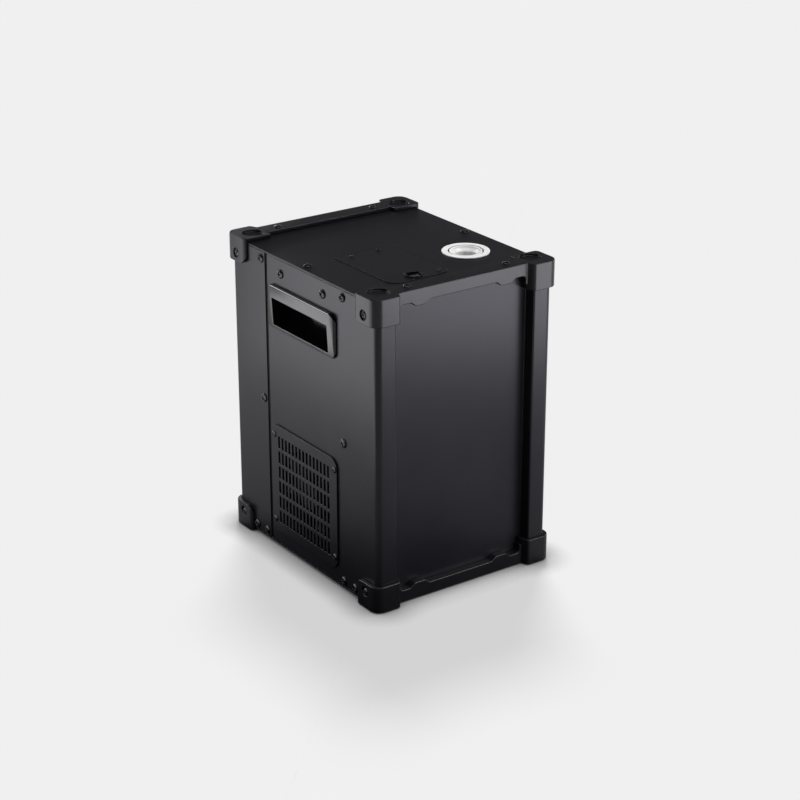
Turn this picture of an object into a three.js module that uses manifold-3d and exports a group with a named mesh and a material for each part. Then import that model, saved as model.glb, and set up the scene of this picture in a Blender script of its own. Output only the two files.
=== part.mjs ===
// Cold spark machine: a free-standing stage-effect box in folded sheet metal with moulded corner caps.
// Millimetres, +Z up. The origin is the middle of the footprint on the floor. The front faces -Y.
import * as THREE from 'three';
import { mergeVertices } from 'three/addons/utils/BufferGeometryUtils.js';
import Module from 'manifold-3d';

const wasm = await Module();
wasm.setup();

// Overall sizes
const overallWidth = 208;
const overallDepth = 254;
const overallHeight = 310;

// Fits shared by all pieces
const gap = 0.3;
const overrun = 8;

// Folded sheet-metal case
const sheet = 1.5;
const plate = 1.8;
const caseInset = 4.5;
const columnInset = 3.5;
const columnWidth = 21.5;
const columnBend = 6.4;
const columnFold = 0.7;
const panelRecess = 12.5;
const seamFromRear = 65.6;
const seamWidth = 4.2;
const seamLap = 9;
const lipDepth = 9;

// Corner caps and the bars between them
const capHeight = 26.2;
const capSideDepth = 33.5;
const capFrontWidth = 27.7;
const capRound = 9.7;
const capTabRound = 9;
const capTabEase = 4.5;
const capSlant = 3.3;
const capSlantEase = 2.2;
const capTopWidth = 30;
const capTopDepth = 33.5;
const tabPocketRadius = 5;
const tabPocketDepth = 1.9;
const tabPocketInset = 18.7;
const tabPocketDrop = 17.5;
const topCover = 4.3;
const bottomCover = 2.4;
const stackRecessRadius = 10.5;
const stackRecessDepth = 2.2;
const stackRecessInsetX = 18;
const stackRecessInsetY = 21;
const barProud = 8.5;
const barTopWidth = 19;
const barDrop = 12;
const lugDrop = 4;
const lugFromLeg = 24.8;
const lugHalf = 5;
const lugCurve = 7;
const legWidth = 1.8;
const legDrop = 20.5;
const legFillet = 4;

// Rubber feet
const footStand = 1.2;
const footPocket = 0.9;
const footRadius = 9.5;

// Side handles
const handleFromSeam = 60.5;
const handleLength = 116;
const handleFromTop = 33;
const handleHeight = 44.5;
const handleProud = 4.2;
const handleThinProud = 2.2;
const handleFrontRound = 6;
const handleRearSlope = 5;
const handleEaseShare = 0.33;
const handleTopRound = 1.4;
const handleCornerRound = 9;
const scoopLength = 94;
const scoopHeight = 27.5;
const scoopLip = 5;
const scoopDepth = 25;
const scoopHook = 5;
const scoopWall = 2.2;

// Side vents with their fans
const ventFromSeam = 60.5;
const ventFromFloor = 19.4;
const ventWidth = 115;
const ventHeight = 114;
const ventRound = 10.5;
const ventPlate = 1.5;
const slotColumns = 15;
const slotRows = 6;
const slotWidth = 3.5;
const slotHeight = 12.4;
const slotPitchY = 6.15;
const slotPitchZ = 15.97;
const fanSize = 92;
const fanDepth = 15;
const fanBore = 86;
const fanRound = 5;
const fanHub = 32;
const fanMotor = 34;
const fanStrut = 3;
const fanStrutWidth = 4;
const fanBlades = 7;
const fanBladeThickness = 1.6;
const fanBladeTilt = 38;
const fanTipGap = 1.2;
const fanShaft = 4;

// Nozzle and furnace
const nozzleShare = 0.5457;
const nozzleFromLidFront = 38.3;
const nozzleRing = 46;
const nozzleRingProud = 1.9;
const nozzleRingNeck = 2;
const nozzleNeckDepth = 6;
const linerOuter = 32.2;
const linerMouth = 27;
const linerDepth = 11;
const linerRim = 0.5;
const tubeOuter = 27;
const tubeInner = 23;
const sleeveWall = 4.7;
const furnaceHeadroom = 5;
const coilWire = 4;
const coilPitch = 11.5;
const coilStart = 5;
const coilSides = 5;
const shieldSize = 58;
const shieldSheet = 1.2;

// Shelf that carries the furnace and the feeder
const shelfShare = 0.1559;
const shelfFlange = 10;

// Blower under the furnace
const blowerRadius = 39.5;
const blowerWidth = 23;
const blowerWall = 2;
const blowerDrop = 48;
const blowerOutlet = 22;
const blowerInlet = 34;
const blowerFlangeEdge = 3;
const blowerFlange = 1.5;
const blowerMotorRadius = 16;
const blowerMotorFromFan = 6.4;
const blowerShaft = 4;
const wheelRadius = 30;
const wheelInner = 24;
const wheelWidth = 15;
const wheelDisc = 2;
const wheelBlades = 8;
const wheelBladeThickness = 1.2;
const wheelHub = 7;
const collarFlange = 3;
const collarHeight = 6;
const collarWall = 3.2;
const collarBore = 20;

// Granule hopper, feeder and its drive
const augerLift = 23;
const augerRadius = 8.4;
const augerShaft = 6;
const augerPitch = 18;
const augerFlight = 2;
const augerEndGap = 21.1;
const augerStepsPerTurn = 7;
const augerReach = 0.9;
const housingBore = 18;
const housingWall = 2;
const housingNeckLength = 38;
const housingNeckWidth = 24;
const housingNeckRise = 6.5;
const housingFootLength = 30;
const housingFootWidth = 20;
const binWall = 1.6;
const binTopLength = 56;
const binBehind = 38;
const binAhead = 17;
const binFlange = 1.2;
const binFlangeEdge = 4.5;
const binThroatLength = 34;
const binThroatWidth = 20;
const gasketThickness = 1.9;
const gasketWidth = 4;
const gearModule = 1.25;
const gearTeeth = 24;
const pinionTeeth = 12;
const gearWidth = 5.5;
const gearSideGap = 2.2;
const gearCentreSlack = 0.25;
const toothBacklash = 0.3;
const dedendumShare = 1.25;
const toothRootShare = 0.36;
const toothTipShare = 0.13;
const meshTurnShare = 0.5;
const motorRadius = 14;
const motorLength = 22;
const motorFromWall = 6.2;
const motorShaft = 4;
const motorFootWidth = 18;

// Hopper lid with its hinge and quarter-turn latch
const hopperShare = -0.2412;
const lidWidth = 67;
const lidLength = 95.2;
const lidFromBar = 13.2;
const lidThickness = 1.8;
const lidProud = 0.4;
const lidGap = 0.5;
const lidRearGap = 0.95;
const lidCorner = 11;
const lidHingeCorner = 1.5;
const lidSwingCorner = 10;
const hingeBack = 12;
const hingeDrop = 4.2;
const hingeBarrel = 4.8;
const hingePin = 2.4;
const hingeBarrelLength = 52;
const hingeBracketWidth = 4;
const hingeBracketHalf = 3.2;
const hingeBracketOut = 1.5;
const hingePinEnd = 2.4;
const latchOffset = 2;
const latchFromFront = 10.5;
const latchRim = 18.4;
const latchRimProud = 0.8;
const latchCup = 16;
const latchWell = 13.4;
const latchDepth = 5.6;
const latchFloor = 2.4;
const latchDisc = 12.6;
const latchDiscHeight = 2.1;
const latchBar = 2.4;
const latchBarLength = 11;
const latchBarHeight = 1;
const latchStem = 5.2;
const camLength = 15;
const camWidth = 8;
const camThickness = 1.5;
const catchWidth = 28;
const catchThickness = 2;

// Power supply and driver on the base
const supplyLength = 108;
const supplyWidth = 56;
const supplyHeight = 40;
const supplyFromFan = 8.5;
const supplyFromFront = 11.5;
const supplySlots = 5;
const driverLength = 100;
const driverWidth = 60;
const driverBase = 6;
const driverHeight = 34;
const driverFromSupply = 18;
const driverFins = 9;
const driverFin = 2.4;
const standoffRadius = 3;

// Rear control panel
const controlWidth = 96;
const controlHeight = 64;
const controlFromTop = 66;
const controlThickness = 2.5;
const controlRound = 5;
const controlFrame = 6;
const windowWidth = 52;
const windowHeight = 24;
const windowRise = 11;
const windowDepth = 5;
const windowSink = 0.7;
const buttonDrop = 17;
const buttonRadius = 4.5;
const buttonProud = 2.2;
const buttonFlange = 1;
const buttonFlangeThickness = 1.4;
const buttonTravel = 1.5;
const buttonStem = 2.6;
const boardThickness = 1.6;
const boardDistance = 6.4;
const buttonShares = [-0.66, -0.22, 0.22, 0.66];

// Rear sockets, switch and fuse
const socketFlangeWidth = 26;
const socketFlangeHeight = 31;
const socketFlange = 2.5;
const socketRound = 3;
const socketBarrel = 24;
const socketBarrelDepth = 21;
const socketBore = 18.6;
const socketBoreDepth = 14;
const socketCore = 12;
const socketCoreSink = 5;
const socketPin = 2.4;
const socketPinCircle = 8;
const socketPinLength = 9;
const socketX = 32;
const signalShare = 0.787;
const mainsShare = 0.4385;
const rockerShare = 0.4773;
const rockerWidth = 14;
const rockerHeight = 20;
const rockerFrame = 3;
const rockerFrameThickness = 2;
const rockerDepth = 9;
const rockerProud = 2.4;
const rockerTilt = 10;
const rockerClearance = 0.7;
const rockerAxleSink = 3.4;
const fuseShare = 0.2933;
const fuseRadius = 8;
const fuseProud = 6;
const fuseBody = 6;
const fuseDepth = 26;

// Smoothness
const roundSteps = 4;
const fineSteps = 24;
const circleSteps = 16;
const hiddenSteps = 12;
const smallSteps = 8;

// Places worked out from the sizes above
const halfWidth = overallWidth / 2;
const halfDepth = overallDepth / 2;
const caseX = halfWidth - caseInset;
const columnY = halfDepth - columnInset;
const columnX = caseX - columnWidth;
const panelY = columnY - panelRecess;
const barY = panelY + barProud;
const capFrontX = halfWidth - capFrontWidth;
const capSlantX = capFrontX - capSlant;
const capTopX = halfWidth - capTopWidth;
const capTopY = halfDepth - capTopDepth;
const topPlateTop = overallHeight - topCover;
const topPlateUnder = topPlateTop - plate;
const wallTop = topPlateUnder - gap;
const basePlateUnder = footStand + bottomCover;
const basePlateTop = basePlateUnder + plate;
const wallBottom = basePlateTop + gap;
const seamPlace = halfDepth - seamFromRear;
const seamFront = seamPlace - seamWidth / 2;
const seamRear = seamPlace + seamWidth / 2;
const lugPlace = capSlantX - lugFromLeg;
const handleMiddleY = seamFront - handleFromSeam;
const handleBottom = overallHeight - handleFromTop - handleHeight;
const ventMiddleY = seamFront - ventFromSeam;
const ventMiddleZ = ventFromFloor + ventHeight / 2;
const wallInnerX = caseX - sheet;
const lapX = wallInnerX - gap;
const fanOuterX = caseX;
const fanInnerX = fanOuterX - fanDepth;
const hopperX = hopperShare * caseX;
const lidLeft = hopperX - lidWidth / 2;
const lidRight = hopperX + lidWidth / 2;
const lidFront = lidFromBar - barY + barTopWidth;
const lidRear = lidFront + lidLength;
const latchX = hopperX - latchOffset;
const latchY = lidFront + latchFromFront;
const nozzleX = nozzleShare * caseX;
const nozzleY = lidFront + nozzleFromLidFront;
const binRear = nozzleY + binBehind;
const binFront = nozzleY - binAhead;
const furnaceRadius = tubeOuter / 2;
const fanTop = ventMiddleZ + fanSize / 2;
const cupBottom = handleBottom + scoopLip - scoopWall;
const shelfTop = fanTop + shelfShare * (cupBottom - fanTop);
const augerHeight = shelfTop + augerLift;
const shelfUnder = shelfTop - sheet;
const shelfRear = seamFront - seamLap - gap;
const flangeBottom = shelfTop + gap;
const blowerFlangeTop = flangeBottom + blowerFlange;
const collarBottom = blowerFlangeTop + gap;
const tubeBottom = collarBottom + collarFlange + gap;
const linerTop = topPlateTop + gap + nozzleRingProud;
const linerBottom = linerTop - linerDepth;
const tubeTop = linerBottom - gap;
const blowerY = nozzleY + blowerRadius - blowerOutlet / 2;
const blowerZ = shelfTop - blowerDrop;
const housingRadius = housingBore / 2 + housingWall;
const neckTop = augerHeight + housingRadius + housingNeckRise;
const sleeveBottom = augerHeight + housingRadius + gap;
const sleeveTop = cupBottom - furnaceHeadroom;
const coilHeight = sleeveTop - sleeveBottom - 2 * coilStart;
const coilTurns = Math.max(1, Math.round(coilHeight / coilPitch));
const binTop = topPlateUnder - gap;
const binBottom = neckTop + gap;
const lidTop = topPlateTop + lidProud;
const lidUnder = lidTop - lidThickness;
const gasketTop = lidUnder - gap;
const gasketBottom = gasketTop - gasketThickness;
const binSeat = gasketBottom - gap;
const hingeY = lidRear - hingeBack;
const hingeZ = lidTop - hingeDrop;
const motorLeft = motorFromWall - wallInnerX;
const motorRight = motorLeft + motorLength;
const gearLeft = motorRight + gearSideGap / 2;
const gearRight = gearLeft + gearWidth;
const housingLeft = gearRight + gearSideGap;
const flightStart = housingLeft + housingWall + gap + augerFlight / 2 + augerReach;
const flightLength = nozzleX - augerEndGap - flightStart;
const pinionRise = gearModule * (gearTeeth + pinionTeeth) / 2 + gearCentreSlack;
const pinionHeight = augerHeight + pinionRise;
const blowerMotorLeft = nozzleX + blowerWidth / 2 + gap;
const blowerMotorRight = fanInnerX - blowerMotorFromFan;
const latchCupBottom = lidTop - latchDepth;
const rearFace = panelY + gap;
const supplyX = supplyFromFan - fanInnerX + supplyLength / 2;
const supplyY = supplyFromFront - panelY + sheet + supplyWidth / 2;
const driverX = supplyFromFan - fanInnerX + driverLength / 2;
const driverY = supplyY + supplyWidth / 2 + driverFromSupply + driverWidth / 2;
const controlMiddleZ = overallHeight - controlFromTop;
const socketRise = controlMiddleZ - controlHeight / 2 - basePlateTop;
const signalZ = basePlateTop + socketRise * signalShare;
const mainsZ = basePlateTop + socketRise * mainsShare;
const rockerZ = basePlateTop + socketRise * rockerShare;
const fuseZ = basePlateTop + socketRise * fuseShare;

// Turns a three.js geometry into a solid that can be cut and joined
function solid(geometry) {
  const plain = geometry.index ? geometry.toNonIndexed() : geometry.clone();
  plain.deleteAttribute('normal');
  plain.deleteAttribute('uv');
  const merged = mergeVertices(plain);
  const corners = merged.index.array;
  const kept = [];
  for (let i = 0; i < corners.length; i += 3) {
    const [a, b, c] = [corners[i], corners[i + 1], corners[i + 2]];
    if (a !== b && b !== c && c !== a) {
      kept.push(a, b, c);
    }
  }
  const vertProperties = new Float32Array(merged.attributes.position.array);
  return new wasm.Manifold(new wasm.Mesh({ numProp: 3, vertProperties, triVerts: new Uint32Array(kept) }));
}

// Joins any number of solids
function join(...solids) {
  return solids.reduce((sum, next) => sum.add(next));
}

// Takes any number of solids out of the first
function cut(body, ...tools) {
  return tools.reduce((left, tool) => left.subtract(tool), body);
}

// A block between two values on each axis, given in either order
function block([x0, x1], [y0, y1], [z0, z1]) {
  const size = [Math.abs(x1 - x0), Math.abs(y1 - y0), Math.abs(z1 - z0)];
  const geometry = new THREE.BoxGeometry(...size);
  geometry.translate((x0 + x1) / 2, (y0 + y1) / 2, (z0 + z1) / 2);
  return solid(geometry);
}

// A closed outline from a list of [u, v] points
function outline(points) {
  return new THREE.Shape(points.map(([u, v]) => new THREE.Vector2(u, v)));
}

// Extrudes an outline along X, Y or Z. The outline lies in YZ, XZ or XY.
function prism(axis, points, [from, to]) {
  const start = Math.min(from, to);
  const length = Math.abs(to - from);
  const geometry = new THREE.ExtrudeGeometry(outline(points), { depth: length, bevelEnabled: false });
  const turn = new THREE.Matrix4();
  if (axis === 'x') {
    turn.set(0, 0, 1, start, 1, 0, 0, 0, 0, 1, 0, 0, 0, 0, 0, 1);
  } else if (axis === 'y') {
    turn.set(1, 0, 0, 0, 0, 0, -1, start + length, 0, 1, 0, 0, 0, 0, 0, 1);
  } else {
    turn.makeTranslation(0, 0, start);
  }
  geometry.applyMatrix4(turn);
  return solid(geometry);
}

// Points of an arc, from one angle to another in degrees
function arc(u, v, radiusU, radiusV, from, to, steps = roundSteps) {
  const points = [];
  for (let i = 0; i <= steps; i += 1) {
    const angle = THREE.MathUtils.degToRad(from + (to - from) * i / steps);
    points.push([u + radiusU * Math.cos(angle), v + radiusV * Math.sin(angle)]);
  }
  return points;
}

// Replaces the corner between two points by a short curve that begins and ends at the given reach
function easedCorner(before, corner, after, reach) {
  const middle = new THREE.Vector2(...corner);
  const [start, end] = [before, after].map((point) => (
    new THREE.Vector2(...point).sub(middle).setLength(reach).add(middle)));
  const curve = new THREE.QuadraticBezierCurve(start, middle, end);
  return curve.getPoints(roundSteps).map((point) => [point.x, point.y]);
}

// A rectangle with its four corner radii, counter-clockwise from the lower left
function roundedRect([u0, u1], [v0, v1], radii, steps = roundSteps) {
  const [a, b, c, d] = Array.isArray(radii) ? radii : [radii, radii, radii, radii];
  return [
    ...arc(u0 + a, v0 + a, a, a, 180, 270, steps),
    ...arc(u1 - b, v0 + b, b, b, 270, 360, steps),
    ...arc(u1 - c, v1 - c, c, c, 0, 90, steps),
    ...arc(u0 + d, v1 - d, d, d, 90, 180, steps),
  ];
}

// A rod or disc along an axis, centred on two coordinates
function rod(axis, [u, v], radius, [from, to], steps = circleSteps) {
  return prism(axis, arc(u, v, radius, radius, 0, 360 - 360 / steps, steps - 1), [from, to]);
}

// A turned solid about a vertical axis, from [radius, height] points
function turned(points, x, y, steps = circleSteps) {
  const profile = [...points, points[0]].map(([r, h]) => new THREE.Vector2(r, h));
  const geometry = new THREE.LatheGeometry(profile, steps);
  geometry.rotateX(Math.PI / 2);
  geometry.translate(x, y, 0);
  return solid(geometry);
}

// A helix along Z whose section keeps one side turned to the axis
class Helix extends THREE.Curve {
  constructor(radius, pitch, turns) {
    super();
    this.radius = radius;
    this.pitch = pitch;
    this.turns = turns;
  }

  getPoint(t) {
    const angle = t * this.turns * 2 * Math.PI;
    const [x, y] = [this.radius * Math.cos(angle), this.radius * Math.sin(angle)];
    return new THREE.Vector3(x, y, t * this.turns * this.pitch);
  }

  computeFrenetFrames(steps) {
    const frames = { tangents: [], normals: [], binormals: [] };
    for (let i = 0; i <= steps; i += 1) {
      const angle = i / steps * this.turns * 2 * Math.PI;
      const rise = this.pitch / (2 * Math.PI);
      const tangent = new THREE.Vector3(-this.radius * Math.sin(angle), this.radius * Math.cos(angle), rise);
      tangent.normalize();
      const normal = new THREE.Vector3(Math.cos(angle), Math.sin(angle), 0);
      frames.tangents.push(tangent);
      frames.normals.push(normal);
      frames.binormals.push(new THREE.Vector3().crossVectors(tangent, normal));
    }
    return frames;
  }
}

// Sweeps a closed section along a helix that starts at the origin
function helixSolid(section, radius, pitch, turns, stepsPerTurn) {
  const extrudePath = new Helix(radius, pitch, turns);
  const steps = Math.round(turns * stepsPerTurn);
  return solid(new THREE.ExtrudeGeometry(outline(section), { steps, bevelEnabled: false, extrudePath }));
}

// Half of the case outline seen from above: side, column, recessed panel, column, side.
// The value inset moves every wall inwards by that much. Folded edges are rounded.
function caseHalf(inset, end) {
  const [sideX, frontY] = [caseX - inset, columnY - inset];
  const bend = columnBend - inset;
  const fold = sheet + columnFold - inset;
  const [innerX, recessY] = [columnX + inset, panelY - inset];
  return [
    [-sideX, end],
    ...arc(-sideX + bend, -frontY + bend, bend, bend, 180, 270),
    ...arc(-innerX - fold, -frontY + fold, fold, fold, 270, 360),
    [-innerX, -recessY],
    [innerX, -recessY],
    ...arc(innerX + fold, -frontY + fold, fold, fold, 180, 270),
    ...arc(sideX - bend, -frontY + bend, bend, bend, 270, 360),
    [sideX, end],
  ];
}

// The whole case outline
function caseOutline(inset) {
  const front = caseHalf(inset, 0).slice(1, -1);
  const rear = front.map(([x, y]) => [-x, -y]);
  return [...front, ...rear];
}

// A folded wall that follows the front half of the case
function foldedWall(end) {
  const outer = caseHalf(0, end);
  const inner = caseHalf(sheet, end).reverse();
  return prism('z', [...outer, ...inner], [wallBottom, wallTop]);
}

const handleY = [handleMiddleY - handleLength / 2, handleMiddleY + handleLength / 2];
const handleZ = [handleBottom, handleBottom + handleHeight];
const scoopY = [handleMiddleY - scoopLength / 2, handleMiddleY + scoopLength / 2];
const scoopBottom = handleBottom + scoopLip;
const scoopTop = scoopBottom + scoopHeight;
const cupY = [scoopY[0] - scoopWall, scoopY[1] + scoopWall];
const cupTop = scoopTop + scoopHook + scoopWall;

function frontShell() {
  const wall = foldedWall(seamFront);
  const cuts = [];
  for (const side of [-1, 1]) {
    const through = [side * (caseX - overrun), side * (caseX + overrun)];
    const half = fanSize / 2 + gap;
    const ventY = [ventMiddleY - half, ventMiddleY + half];
    const ventZ = [ventMiddleZ - half, ventMiddleZ + half];
    cuts.push(block(through, ventY, ventZ));
    cuts.push(block(through, [cupY[0] - gap, cupY[1] + gap], [cupBottom - gap, cupTop + gap]));
  }
  return cut(wall, ...cuts);
}

const socketPlaces = [[-socketX, signalZ], [socketX, signalZ], [-socketX, mainsZ], [socketX, mainsZ]];
const controlZ = [controlMiddleZ - controlHeight / 2, controlMiddleZ + controlHeight / 2];

function rearShell() {
  const outer = caseHalf(0, -seamRear).map(([x, y]) => [-x, -y]);
  const inner = caseHalf(sheet, -seamRear).map(([x, y]) => [-x, -y]).reverse();
  let wall = prism('z', [...outer, ...inner], [wallBottom, wallTop]);
  for (const side of [-1, 1]) {
    const lap = block([side * lapX, side * (lapX - sheet)], [seamFront - seamLap, seamRear + sheet],
      [wallBottom, wallTop]);
    const step = block([side * (lapX - sheet), side * caseX], [seamRear, seamRear + sheet],
      [wallBottom, wallTop]);
    wall = join(wall, lap, step);
  }
  const through = [panelY - overrun, panelY + overrun];
  const holes = socketPlaces.map((place) => rod('y', place, socketBarrel / 2 + gap, through, hiddenSteps));
  const half = controlWidth / 2 - controlFrame;
  const window = block([-half, half], through, [controlZ[0] + controlFrame, controlZ[1] - controlFrame]);
  const rockerX = rockerWidth / 2 + rockerClearance + sheet + gap;
  const rockerHalf = rockerHeight / 2 + rockerClearance + sheet + gap;
  const rocker = block([-rockerX, rockerX], through, [rockerZ - rockerHalf, rockerZ + rockerHalf]);
  const fuse = rod('y', [0, fuseZ], fuseBody + gap, through);
  return cut(wall, ...holes, window, rocker, fuse);
}

const lidCorners = [lidCorner, lidCorner, lidCorner, lidHingeCorner];

// Turned-in flanges of the top and base plates, inside the side walls and clear of the seam's lap
function sideFlanges(z) {
  const runs = [[-capTopY, seamFront - seamLap - gap], [seamRear + sheet + gap, capTopY]];
  const flanges = [];
  for (const side of [-1, 1]) {
    for (const run of runs) {
      flanges.push(block([side * lapX, side * (lapX - sheet)], run, z));
    }
  }
  return flanges;
}

function topPlate() {
  const sheetBody = prism('z', caseOutline(0), [topPlateUnder, topPlateTop]);
  const corner = lidCorner + lidGap;
  const hole = roundedRect([lidLeft - lidGap, lidRight + lidGap], [lidFront - lidGap, lidRear + lidRearGap],
    [corner, corner, lidSwingCorner, lidHingeCorner + lidGap]);
  const opening = prism('z', hole, [topPlateUnder - overrun, topPlateTop + overrun]);
  const neck = linerOuter / 2 + gap + nozzleRingNeck + gap;
  const through = [topPlateUnder - overrun, topPlateTop + overrun];
  const bore = rod('z', [nozzleX, nozzleY], neck, through, fineSteps);
  const catchFront = lidFront - lidGap;
  const catchX = [latchX - catchWidth / 2, latchX + catchWidth / 2];
  const lip = block(catchX, [catchFront - catchThickness, catchFront], [latchCupBottom, topPlateTop]);
  return join(cut(sheetBody, opening, bore), lip, ...sideFlanges([topPlateUnder - lipDepth, topPlateTop]));
}

function basePlate() {
  const body = prism('z', caseOutline(0), [basePlateUnder, basePlateTop]);
  return join(body, ...sideFlanges([basePlateUnder, basePlateTop + lipDepth]));
}

// Lower edge of a bar, from its middle to one end, as [x, drop] points
function barEdge() {
  const points = [[0, barDrop]];
  const curve = (from, to, start, end) => {
    for (let i = 0; i <= roundSteps; i += 1) {
      const share = i / roundSteps;
      const ease = (1 - Math.cos(Math.PI * share)) / 2;
      points.push([from + (to - from) * share, start + (end - start) * ease]);
    }
  };
  curve(lugPlace - lugHalf - lugCurve, lugPlace - lugHalf, barDrop, barDrop + lugDrop);
  curve(lugPlace + lugHalf, lugPlace + lugHalf + lugCurve, barDrop + lugDrop, barDrop);
  const legX = capSlantX - legWidth;
  for (const [x, drop] of arc(legX - legFillet, barDrop + legFillet, legFillet, legFillet, -90, 0)) {
    points.push([x, drop]);
  }
  points.push([legX, legDrop], [capFrontX, legDrop]);
  return points;
}

// Two corner caps and the bar between them, at the front. Drops are measured from the outer face.
function bezel(face, direction, cover) {
  const at = (drop) => face + direction * drop;
  const barHalf = barEdge().map(([x, drop]) => [x, at(drop)]);
  const mirrored = barHalf.slice(1).reverse().map(([x, z]) => [-x, z]);
  const lipPoints = [[-capFrontX, at(0)], ...mirrored, ...barHalf, [capFrontX, at(0)]];
  const pieces = [
    prism('y', lipPoints, [-barY, -panelY + gap]),
    block([-capFrontX, capFrontX], [-barY, -barY + barTopWidth], [at(0), at(cover)]),
  ];
  const recesses = [];
  for (const side of [-1, 1]) {
    const rear = -halfDepth + capSideDepth;
    const slantEnd = [-capSlantX, -barY];
    const thickness = caseInset - gap;
    const skirt = [
      ...arc(-halfWidth + capRound, -halfDepth + capRound, capRound, capRound, 180, 270),
      ...easedCorner([-halfWidth, -halfDepth], [-capFrontX, -halfDepth], slantEnd, capSlantEase),
      slantEnd,
      [-capSlantX, rear],
      ...arc(-halfWidth + thickness, rear - capTabEase, thickness, capTabEase, 90, 180),
    ].map(([x, y]) => [-side * x, y]);
    const column = prism('z', skirt, [at(0), at(capHeight)]);
    const tabArc = arc(rear - capTabRound, capHeight - capTabRound, capTabRound, capTabRound, 0, 90);
    const profile = [[-halfDepth, 0], [rear, 0], ...tabArc, [-halfDepth, capHeight]];
    const sideView = profile.map(([y, drop]) => [y, at(drop)]);
    pieces.push(column.intersect(prism('x', sideView, [-halfWidth - overrun, halfWidth + overrun])));
    const pad = [side * capTopX, side * (caseX - gap)];
    pieces.push(block(pad, [-barY, -capTopY], [at(0), at(cover)]));
    const pocket = [-halfDepth + tabPocketInset, at(tabPocketDrop)];
    const pocketReach = [halfWidth - tabPocketDepth, halfWidth + overrun].map((x) => side * x);
    recesses.push(rod('x', pocket, tabPocketRadius, pocketReach));
    const centre = [side * (halfWidth - stackRecessInsetX), -halfDepth + stackRecessInsetY];
    if (direction < 0) {
      recesses.push(rod('z', centre, stackRecessRadius, [at(-overrun), at(stackRecessDepth)]));
    } else {
      recesses.push(rod('z', centre, footRadius + gap, [at(-overrun), at(footPocket)], smallSteps));
    }
  }
  const inside = prism('z', caseOutline(-gap), [at(cover), at(overallHeight / 2)]);
  return cut(join(...pieces), inside, ...recesses);
}

function foot() {
  const height = footStand + footPocket - gap;
  const edge = height / 4;
  const points = [[0, 0], [footRadius - edge, 0], [footRadius, edge], [footRadius, height], [0, height]];
  return turned(points, 0, 0, smallSteps);
}

// The moulded cup and its sloping surround. Depths are measured inwards from the case side.
function handle(side) {
  const at = (depth) => side * (caseX - depth);
  const flatTop = handleZ[1] - handleTopRound;
  const section = [
    [at(-gap), handleZ[0]],
    [at(-gap - handleThinProud), handleZ[0] + handleThinProud],
    [at(-handleProud), scoopTop],
    ...arc(at(handleTopRound - handleProud), flatTop, side * handleTopRound, handleTopRound, 0, 90),
    [at(-gap), handleZ[1]],
  ];
  const frontRadius = side * (handleProud - gap);
  const plan = [
    ...arc(at(-gap), handleY[0] + handleFrontRound, frontRadius, handleFrontRound, -90, 0),
    [at(-handleProud), handleY[1] - handleRearSlope],
    [at(-gap - handleProud / 2), handleY[1] - handleRearSlope * handleEaseShare],
    [at(-gap), handleY[1]],
  ];
  const elevation = roundedRect(handleY, handleZ, handleCornerRound);
  const depthRange = [at(-overrun), at(overrun)];
  const surround = prism('y', section, handleY)
    .intersect(prism('z', plan, handleZ))
    .intersect(prism('x', elevation, depthRange));
  const floor = (wall) => arc(0, scoopTop, scoopDepth + wall, scoopHeight + wall, -90, 0, roundSteps + 2);
  const cup = [
    ...floor(scoopWall),
    [scoopDepth + scoopWall, cupTop],
    [-gap, cupTop],
    [-gap, cupBottom],
  ].map(([depth, z]) => [at(depth), z]);
  const hollow = [
    [-overrun, scoopBottom],
    ...floor(0),
    [scoopDepth, scoopTop + scoopHook],
    [sheet + scoopWall, scoopTop + scoopHook],
    [sheet, scoopTop],
    [-overrun, scoopTop],
  ].map(([depth, z]) => [at(depth), z]);
  return cut(join(surround, prism('y', cup, cupY)), prism('y', hollow, scoopY));
}

// Slotted cover plate of a vent, built about its own middle with its inner face at x = 0
function ventGrille() {
  const face = roundedRect([-ventWidth / 2, ventWidth / 2], [-ventHeight / 2, ventHeight / 2], ventRound);
  const slots = [];
  for (let column = 0; column < slotColumns; column += 1) {
    for (let row = 0; row < slotRows; row += 1) {
      const y = (column - (slotColumns - 1) / 2) * slotPitchY;
      const z = (row - (slotRows - 1) / 2) * slotPitchZ;
      slots.push(block([-overrun, ventPlate + overrun], [y - slotWidth / 2, y + slotWidth / 2],
        [z - slotHeight / 2, z + slotHeight / 2]));
    }
  }
  return cut(prism('x', face, [0, ventPlate]), join(...slots));
}

// Fan frame about its own axis along X, with the motor seat at its inner end (x = 0)
function fanFrame() {
  const half = fanSize / 2;
  const body = prism('x', roundedRect([-half, half], [-half, half], fanRound), [0, fanDepth]);
  const bore = rod('x', [0, 0], fanBore / 2, [-overrun, fanDepth + overrun]);
  const seat = rod('x', [0, 0], fanMotor / 2, [0, fanStrut]);
  const reach = (half + fanBore / 2) / 2;
  const struts = [
    block([0, fanStrut], [-reach, reach], [-fanStrutWidth / 2, fanStrutWidth / 2]),
    block([0, fanStrut], [-fanStrutWidth / 2, fanStrutWidth / 2], [-reach, reach]),
  ];
  const shaft = rod('x', [0, 0], fanShaft / 2 + gap, [-overrun, fanStrut + overrun], smallSteps);
  return cut(join(cut(body, bore), seat, ...struts), shaft);
}

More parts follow.
